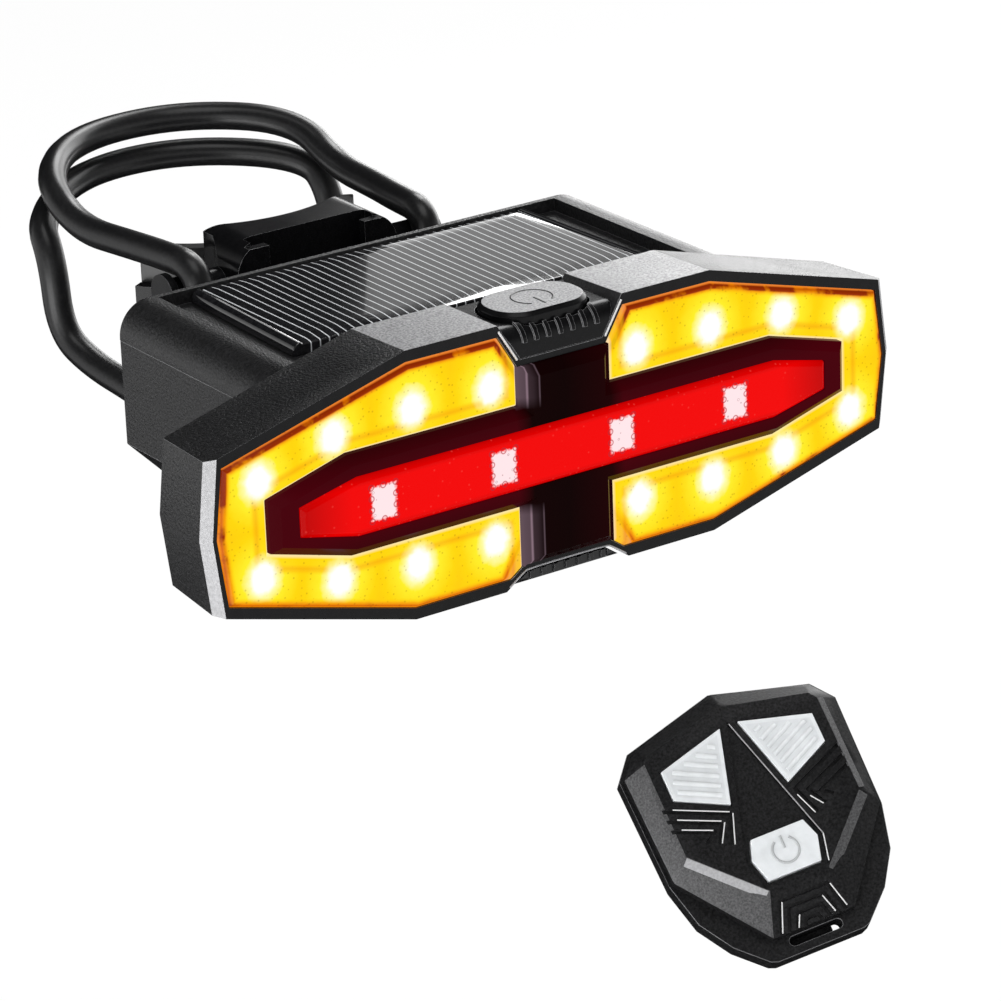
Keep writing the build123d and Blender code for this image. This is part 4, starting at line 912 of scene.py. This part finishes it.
class SignalRemote(bpy.types.Operator):
    """Remote's shells and keys with rounded edges"""

    bl_idname = "signal.remote"
    bl_label = "Remote"

    def key_plastic(self, name, colour, share):
        """Soft clouded plastic, in a share of the key colour."""
        colour = tuple(share * part for part in colour)
        darker = tuple(0.88 * part for part in colour)
        made, tree, surface = new_material(name)
        cloud = noise(in_millimetres(tree), Scale=0.5, Detail=3)
        dress(
            surface,
            Base_Color=cloud.ramp((0.3, darker), (0.7, colour)),
            Roughness=0.30,
            Subsurface_Weight=0.25,
            Subsurface_Radius=(0.001, 0.001, 0.001),
            Subsurface_Scale=0.6,
        )
        return made

    def block(self, middle, axes, size, material):
        """A box with tiny rounds, along three axes. Sizes are in millimetres."""
        turn = Matrix(axes).transposed()
        bpy.ops.object.select_all(action="DESELECT")
        bpy.ops.mesh.primitive_cube_add(size=MM, location=middle * MM, rotation=turn.to_euler())
        piece = bpy.context.object
        piece.scale = size
        bpy.ops.object.transform_apply(location=True, rotation=True, scale=True)
        return rounded(piece, FINE_ROUND * 0.6, material)

    def glints(self):
        """Thin lines of painted highlight along the wedge's right edge and beside the chevrons and arches."""
        beside, sunk, radius = 0.36, -0.03, 0.09
        wedge_top, wedge_bend, wedge_foot = (0.15, 10.9), (5.9, -8.5), (5.0, -12.4)
        runs = [(wedge_top, wedge_bend), (wedge_bend, wedge_foot)]
        chevrons, pitch = 3, 1.6
        for index in range(chevrons):
            step = pitch * index
            corner = (4.95 + step, -1.17 - step / 2)
            foot = (6.5 + step, -5.4 + step / 2)
            share = 4.0 / (11.25 - step)
            bar = (12.2, 3.8 - step - share * (4.97 - step / 2))
            runs.append(((-bar[0], bar[1] + beside), (-corner[0], corner[1] + beside)))
            # The outermost chevron has a line along its bar alone
            if index < chevrons - 1:
                runs.append(((beside - corner[0], corner[1]), (beside - foot[0], foot[1])))
                runs.append(((corner[0] - 0.1, corner[1] - 0.9), (foot[0] - beside, foot[1])))
        places = [[on_remote(*end, sunk) for end in run] for run in runs]
        foot_up, foot_run = -13.3, 5.9
        slope = Vector((0, foot_run, SHELL_HEIGHT)).normalized()
        for run in (((-4.75, -6.2), (-3.35, -2.1)), ((-2.3, -6.3), (-1.6, -4.6)),
                    ((3.95, -2.1), (5.2, -5.8)), ((2.35, -3.3), (3.4, -6.0))):
            places.append([on_remote(right, foot_up + down * slope.y, down * slope.z) for right, down in run])
        # Each line is a tube of painted highlight
        lines = [tube("glint", place, radius) for place in places]
        lines[0].data.materials.append(moulded("bright"))
        return joined(*lines)

    def band(self, start, end, foot, width, material):
        """A thin flat band on a side facet, along its edge with the top face, carrying the chamfer's painted
        light in the finish it is given.
        """
        first, last = on_remote(*start), on_remote(*end)
        below = on_remote(*foot, -SHELL_HEIGHT) - first
        along = (last - first).normalized()
        out = along.cross(below).normalized()
        if out.dot(REMOTE_OUT) < 0:
            out = -out
        down = out.cross(along)
        if down.dot(below) < 0:
            down = -down
        below_edge, sunk, short, thickness = 0.08, 0.09, 0.3, 0.3
        middle = (first + last) / 2 + down * (width / 2 + below_edge) - out * sunk
        size = ((last - first).length - short, width, thickness)
        return self.block(middle, (along, out.cross(along), out), size, material)

    def window(self, piece):
        """Lowers the middle of a key's top a little, inside a rim, and gives it its own finish."""
        select_faces(piece, lambda face: (
            face.normal.dot(REMOTE_OUT) > 0.99 and height_on_remote(face.center / MM) > KEY_RISE - 0.05))
        rim, drop = 0.55, 0.07
        bpy.ops.mesh.inset(thickness=rim * MM, depth=-drop * MM)
        piece.active_material_index = 1
        bpy.ops.object.material_slot_assign()
        bpy.ops.object.mode_set(mode="OBJECT")

    def rib_runs(self, look):
        """Both ends of each rib of the right key, along its lower edge and kept inside its rim."""
        outline = [Vector(place) for place in ((4.4, 0), (11.6, 3.5), (11.6, 7.9), (1.35, 10.7))]
        along = (outline[1] - outline[0]).normalized()
        across = Vector((-along.y, along.x))
        first_rib, key_height, rim, shortest = 1.25, 8.3, 1.0, 0.4
        runs = []
        for index in range(look.rib_count):
            base = outline[0] + across * (first_rib + index * key_height / look.rib_count)
            low, high = -50.0, 50.0
            for first, last in zip(outline, outline[1:] + outline[:1]):
                edge = (last - first).normalized()
                inward = Vector((-edge.y, edge.x))
                gap = inward.dot(base - first) - rim
                rate = inward.dot(along)
                if rate > 0.01:
                    low = max(low, -gap / rate)
                elif rate < -0.01:
                    high = min(high, -gap / rate)
            if high - low > shortest:
                runs.append((base + along * low, base + along * high))
        return runs

    def dress_shells(self, look):
        """Both shells, with bands of painted highlight and half light, thin lines of painted highlight and a
        dark block in the slot as painted shade.
        """
        piece = copied("remote_top_shell", "remote_shell")
        # The small rounds get a painted highlight
        rounded(piece, FINE_ROUND, moulded("remote"), moulded("edge"), angle=45)
        # Painted half light: the left side facets are dim grey, in place of the light from the left
        paint_where(piece, moulded("shade"), lambda normal, at: (
            0.3 < normal.dot(REMOTE_OUT) < 0.95 and normal.dot(REMOTE_RIGHT) < -0.2
            and normal.dot(REMOTE_UP) < 0.2))
        width = look.band_width / MM
        # Painted light on the chamfer bands: a highlight on the lower left, half light on the lower right and
        # on the right
        joined(
            piece,
            self.band((-13.2, -4.5), (-4.4, -13.3), (-11, -13), width, moulded("band")),
            self.band((4.4, -13.3), (13.2, -4.5), (11, -13), 1.2 * width, moulded("shade")),
            self.band((13.2, -4.5), (13.2, 9.9), (16, 1), width, moulded("shade")),
            self.glints(),
        )
        finish(piece, "remote", "remote_top_shell")
        # The small rounds get a painted highlight
        piece = rounded(copied("remote_base", "remote_back"), SOFT_ROUND, moulded("remote"), moulded("edge"))
        # Painted shade: a dark block set in the lanyard slot
        slot_shade, slot_shade_size = on_remote(-0.5, -19.93, -7.0), (6.8, 0.86, 0.7)
        axes = (REMOTE_RIGHT, REMOTE_UP, REMOTE_OUT)
        joined(piece, self.block(slot_shade, axes, slot_shade_size, moulded("remote")))
        finish(piece, "remote", "remote_base")

    def dress_keys(self, look):
        """Two ribbed side keys and the power key with its mark."""
        white = self.key_plastic("White key", look.key_colour, 1)
        pane = self.key_plastic("Key window", look.key_colour, 0.93)
        rib_middle = KEY_RISE + look.rib_rise / MM - RIB_RADIUS
        for node, name, side in (("remote_key_left", "left_key", -1), ("remote_key_right", "right_key", 1)):
            piece = copied(node, name)
            piece.data.materials.append(white)
            piece.data.materials.append(pane)
            self.window(piece)
            rounded(piece, FINE_ROUND, white)
            for run in self.rib_runs(look):
                rib = tube("rib", [on_remote(side * end.x, end.y, rib_middle) for end in run], RIB_RADIUS)
                rib.data.materials.append(white)
                joined(piece, rib)
            finish(piece, node, node)
        piece = rounded(copied("remote_key_power", "power_key"), SMALL_ROUND, white)
        middle, sunk, ring, line = -8.8, KEY_RISE - 0.08, 1.9, 0.2
        mark = power_mark("mark", lambda right, up: on_remote(right, up + middle, sunk), ring, line)
        # Painted shade: the raised ring is a darker grey than its key, in place of the shade round it
        mark.data.materials.append(self.key_plastic("Key mark", look.key_colour, 0.62))
        joined(piece, mark)
        finish(piece, "remote_key_power", "remote_key_power")

    def execute(self, context):
        look = context.scene.signal_remote
        self.dress_shells(look)
        self.dress_keys(look)
        return {"FINISHED"}


class SignalInside(bpy.types.Operator):
    """Finishes of the parts inside the lamp and the remote"""

    bl_idname = "signal.inside"
    bl_label = "Inside parts"

    def execute(self, context):
        board = grained("Green board", (0.012, 0.10, 0.035), 1.2, 0.01, 0.38, coat=0.4)
        cell = grained("Dark cell", (0.012, 0.014, 0.05), 2.0, 0.004, 0.22, coat=0.6)
        wrap = grained("Blue battery sleeve", (0.01, 0.09, 0.34), 3.0, 0.006, 0.30, coat=0.5)
        dies = grained("Lamp package", (0.80, 0.66, 0.30), 0.6, 0.01, 0.35)
        white = grained("White reflector plastic", (0.72, 0.72, 0.70), 0.8, 0.01, 0.42)
        steel = metal("Bright steel", (0.56, 0.56, 0.58), 0.26)
        sleeve = grained("Red lead sleeve", (0.42, 0.02, 0.02), 0.8, 0.004, 0.34)
        finishes = {
            board: ["main_board", "switch_board", "remote_board"],
            cell: ["solar_cell"],
            wrap: ["battery_cell"],
            dies: ["amber_lamps_left", "amber_lamps_right", "red_lamps"],
            white: ["light_baffle"],
            steel: ["housing_screws", "remote_screws", "coin_cell", "coin_contact", "charging_socket",
                    "tact_switch", "remote_switches"],
            sleeve: ["solar_leads", "battery_leads"],
            moulded("rubber"): ["lens_gasket", "seam_seal", "remote_keypad"],
        }
        for material, nodes in finishes.items():
            for node in nodes:
                paint_node(node, material)
        return {"FINISHED"}


class SignalStage(bpy.types.Operator):
    """Pale floor, soft lights and the camera"""

    bl_idname = "signal.stage"
    bl_label = "Stage"

    def light(self, name, place, target, width, height, power):
        """A soft rectangular light. Sizes are in metres."""
        spot = Vector(place)
        bpy.ops.object.light_add(type="AREA", location=spot)
        lamp = bpy.context.object
        lamp.name = name
        lamp.rotation_euler = (Vector(target) - spot).to_track_quat("-Z", "Y").to_euler()
        lamp.data.shape = "RECTANGLE"
        lamp.data.size = width
        lamp.data.size_y = height
        lamp.data.energy = power

    def card(self, name, place, turn, size, material):
        """A dark flag that only reflections show."""
        bpy.ops.mesh.primitive_plane_add(size=1, location=place)
        flag = bpy.context.object
        flag.name = name
        flag.rotation_euler = [math.radians(part) for part in turn]
        flag.scale = (*size, 1)
        flag.visible_camera = False
        flag.visible_diffuse = False
        flag.visible_transmission = False
        flag.visible_shadow = False
        flag.data.materials.append(material)

    def pale(self, name, colour):
        """A plain floor that takes shadows and is nearly white to the eye and in reflections."""
        made, tree, surface = new_material(name)
        dress(surface, Base_Color=colour, Roughness=0.8)
        white = new_node(tree, "ShaderNodeEmission", Strength=1, Color=(1, 1, 1))
        seen = rays_of(tree, "Camera", "Glossy", "Transmission") * 0.93
        dress(tree.nodes["Material Output"], Surface=shader_mix(seen, Value(surface), Value(white)))
        return made

    def surroundings(self, look):
        """White to the eye, even fill for light, and a sweep that darkens upwards for reflections."""
        world = bpy.data.worlds.new("Studio")
        bpy.context.scene.world = world
        world.use_nodes = True
        tree = world.node_tree
        fill = dress(tree.nodes["Background"], Strength=look.fill, Color=(1, 1, 1))
        _, _, up = parts_of(Value(new_node(tree, "ShaderNodeTexCoord"), "Generated"))
        shade = ((up + 1) * 0.5).ramp((0.0, 1.0), (0.56, 1.0), (0.67, 0.45), (0.78, 0.10), (1.0, 0.10))
        sweep = new_node(tree, "ShaderNodeBackground", Strength=1, Color=shade)
        white = new_node(tree, "ShaderNodeBackground", Strength=1, Color=(1, 1, 1))
        shiny = shader_mix(rays_of(tree, "Glossy"), Value(fill), Value(sweep))
        seen = shader_mix(rays_of(tree, "Camera", "Transmission"), shiny, Value(white))
        dress(tree.nodes["World Output"], Surface=seen)

    def camera(self):
        """A long lens in front of the lamp, to its left and above. Its place is in millimetres."""
        bpy.ops.object.camera_add()
        camera = bpy.context.object
        camera.name = "camera"
        right = Vector((0.82162285, -0.56894168, -0.03523146))
        up = Vector((0.2365714, 0.28410143, 0.92915034))
        turn = Matrix((right, up, right.cross(up))).transposed().to_4x4()
        place = Vector((-305.787, -521.689, 205.309))
        camera.matrix_world = Matrix.Translation(place * MM) @ turn
        camera.data.sensor_width = 36
        camera.data.lens = 173.05
        camera.data.clip_start = 0.01
        bpy.context.scene.camera = camera

    def execute(self, context):
        look = context.scene.signal_stage
        floor_height, floor_size, card_gap = CAD_BOX[0][2] - look.floor_drop, 8, 0.01
        bpy.ops.mesh.primitive_plane_add(size=floor_size, location=(0, 0, floor_height))
        floor = context.object
        floor.name = "floor"
        floor.data.materials.append(self.pale("Pale floor", look.floor_colour))
        self.surroundings(look)

        middle = (0, -0.06, 0)
        self.light("right_softbox", (0.80, 0.33, 0.33), middle, 0.60, 1.0, 5.5)
        self.light("rear_softbox", (0.527, 0.475, 0.585), middle, 0.27, 0.36, 2.2)
        self.light("low_strip", (0.60, 0.607, 0.078), middle, 0.22, 0.16, 0.5)
        self.light("left_softbox", (-0.80, -0.55, 0.10), middle, 0.35, 0.7, 0.9)
        self.light("low_left_softbox", (-0.30, -0.10, -0.13), (0.06, -0.04, -0.08), 0.25, 0.25, 0.8)
        self.light("top_softbox", (-0.1, -0.3, 1.0), middle, 0.7, 0.7, 3)
        black, _, surface = new_material("Dark card")
        dress(surface, Base_Color=(0.004, 0.004, 0.004), Roughness=1, Specular_IOR_Level=0)
        self.card("rear_card", (-0.088, 0.947, 0.45), (90, 0, 147.7), (1.2, 1.5), black)
        self.card("low_card", (0.15, 0.25, floor_height + card_gap), (0, 0, 0), (0.9, 0.8), black)
        self.camera()
        context.scene.view_settings.view_transform = "Standard"
        return {"FINISHED"}


PIECES = (
    SignalBezel, SignalHousing, SignalLenses, SignalSolar, SignalButton,
    SignalBracket, SignalStrap, SignalRemote, SignalInside, SignalStage,
)


class SignalPanel(bpy.types.Panel):
    """Lists the settings and the pieces of the turn signal light"""

    bl_idname = "VIEW3D_PT_signal_light"
    bl_label = "Signal light"
    bl_space_type = "VIEW_3D"
    bl_region_type = "UI"
    bl_category = "Signal light"

    def draw(self, context):
        for name in SETTINGS:
            settings = getattr(context.scene, name)
            box = self.layout.box()
            for key in settings.__annotations__:
                box.prop(settings, key)
        for piece in PIECES:
            self.layout.operator(piece.bl_idname)


SETTINGS = {
    "signal_plastic": PlasticSettings,
    "signal_lens": LensSettings,
    "signal_solar": SolarSettings,
    "signal_strap": StrapSettings,
    "signal_remote": RemoteSettings,
    "signal_stage": StageSettings,
}


def register():
    for kind in (*SETTINGS.values(), *PIECES, SignalPanel):
        bpy.utils.register_class(kind)
    for name, kind in SETTINGS.items():
        setattr(bpy.types.Scene, name, bpy.props.PointerProperty(type=kind))


def unregister():
    for name in SETTINGS:
        delattr(bpy.types.Scene, name)
    for kind in reversed((*SETTINGS.values(), *PIECES, SignalPanel)):
        bpy.utils.unregister_class(kind)


def main():
    register()
    bpy.ops.signal.bezel()
    bpy.ops.signal.housing()
    bpy.ops.signal.lenses()
    bpy.ops.signal.solar()
    bpy.ops.signal.button()
    bpy.ops.signal.bracket()
    bpy.ops.signal.strap()
    bpy.ops.signal.remote()
    bpy.ops.signal.inside()
    bpy.ops.signal.stage()


if __name__ == "__main__":
    main()
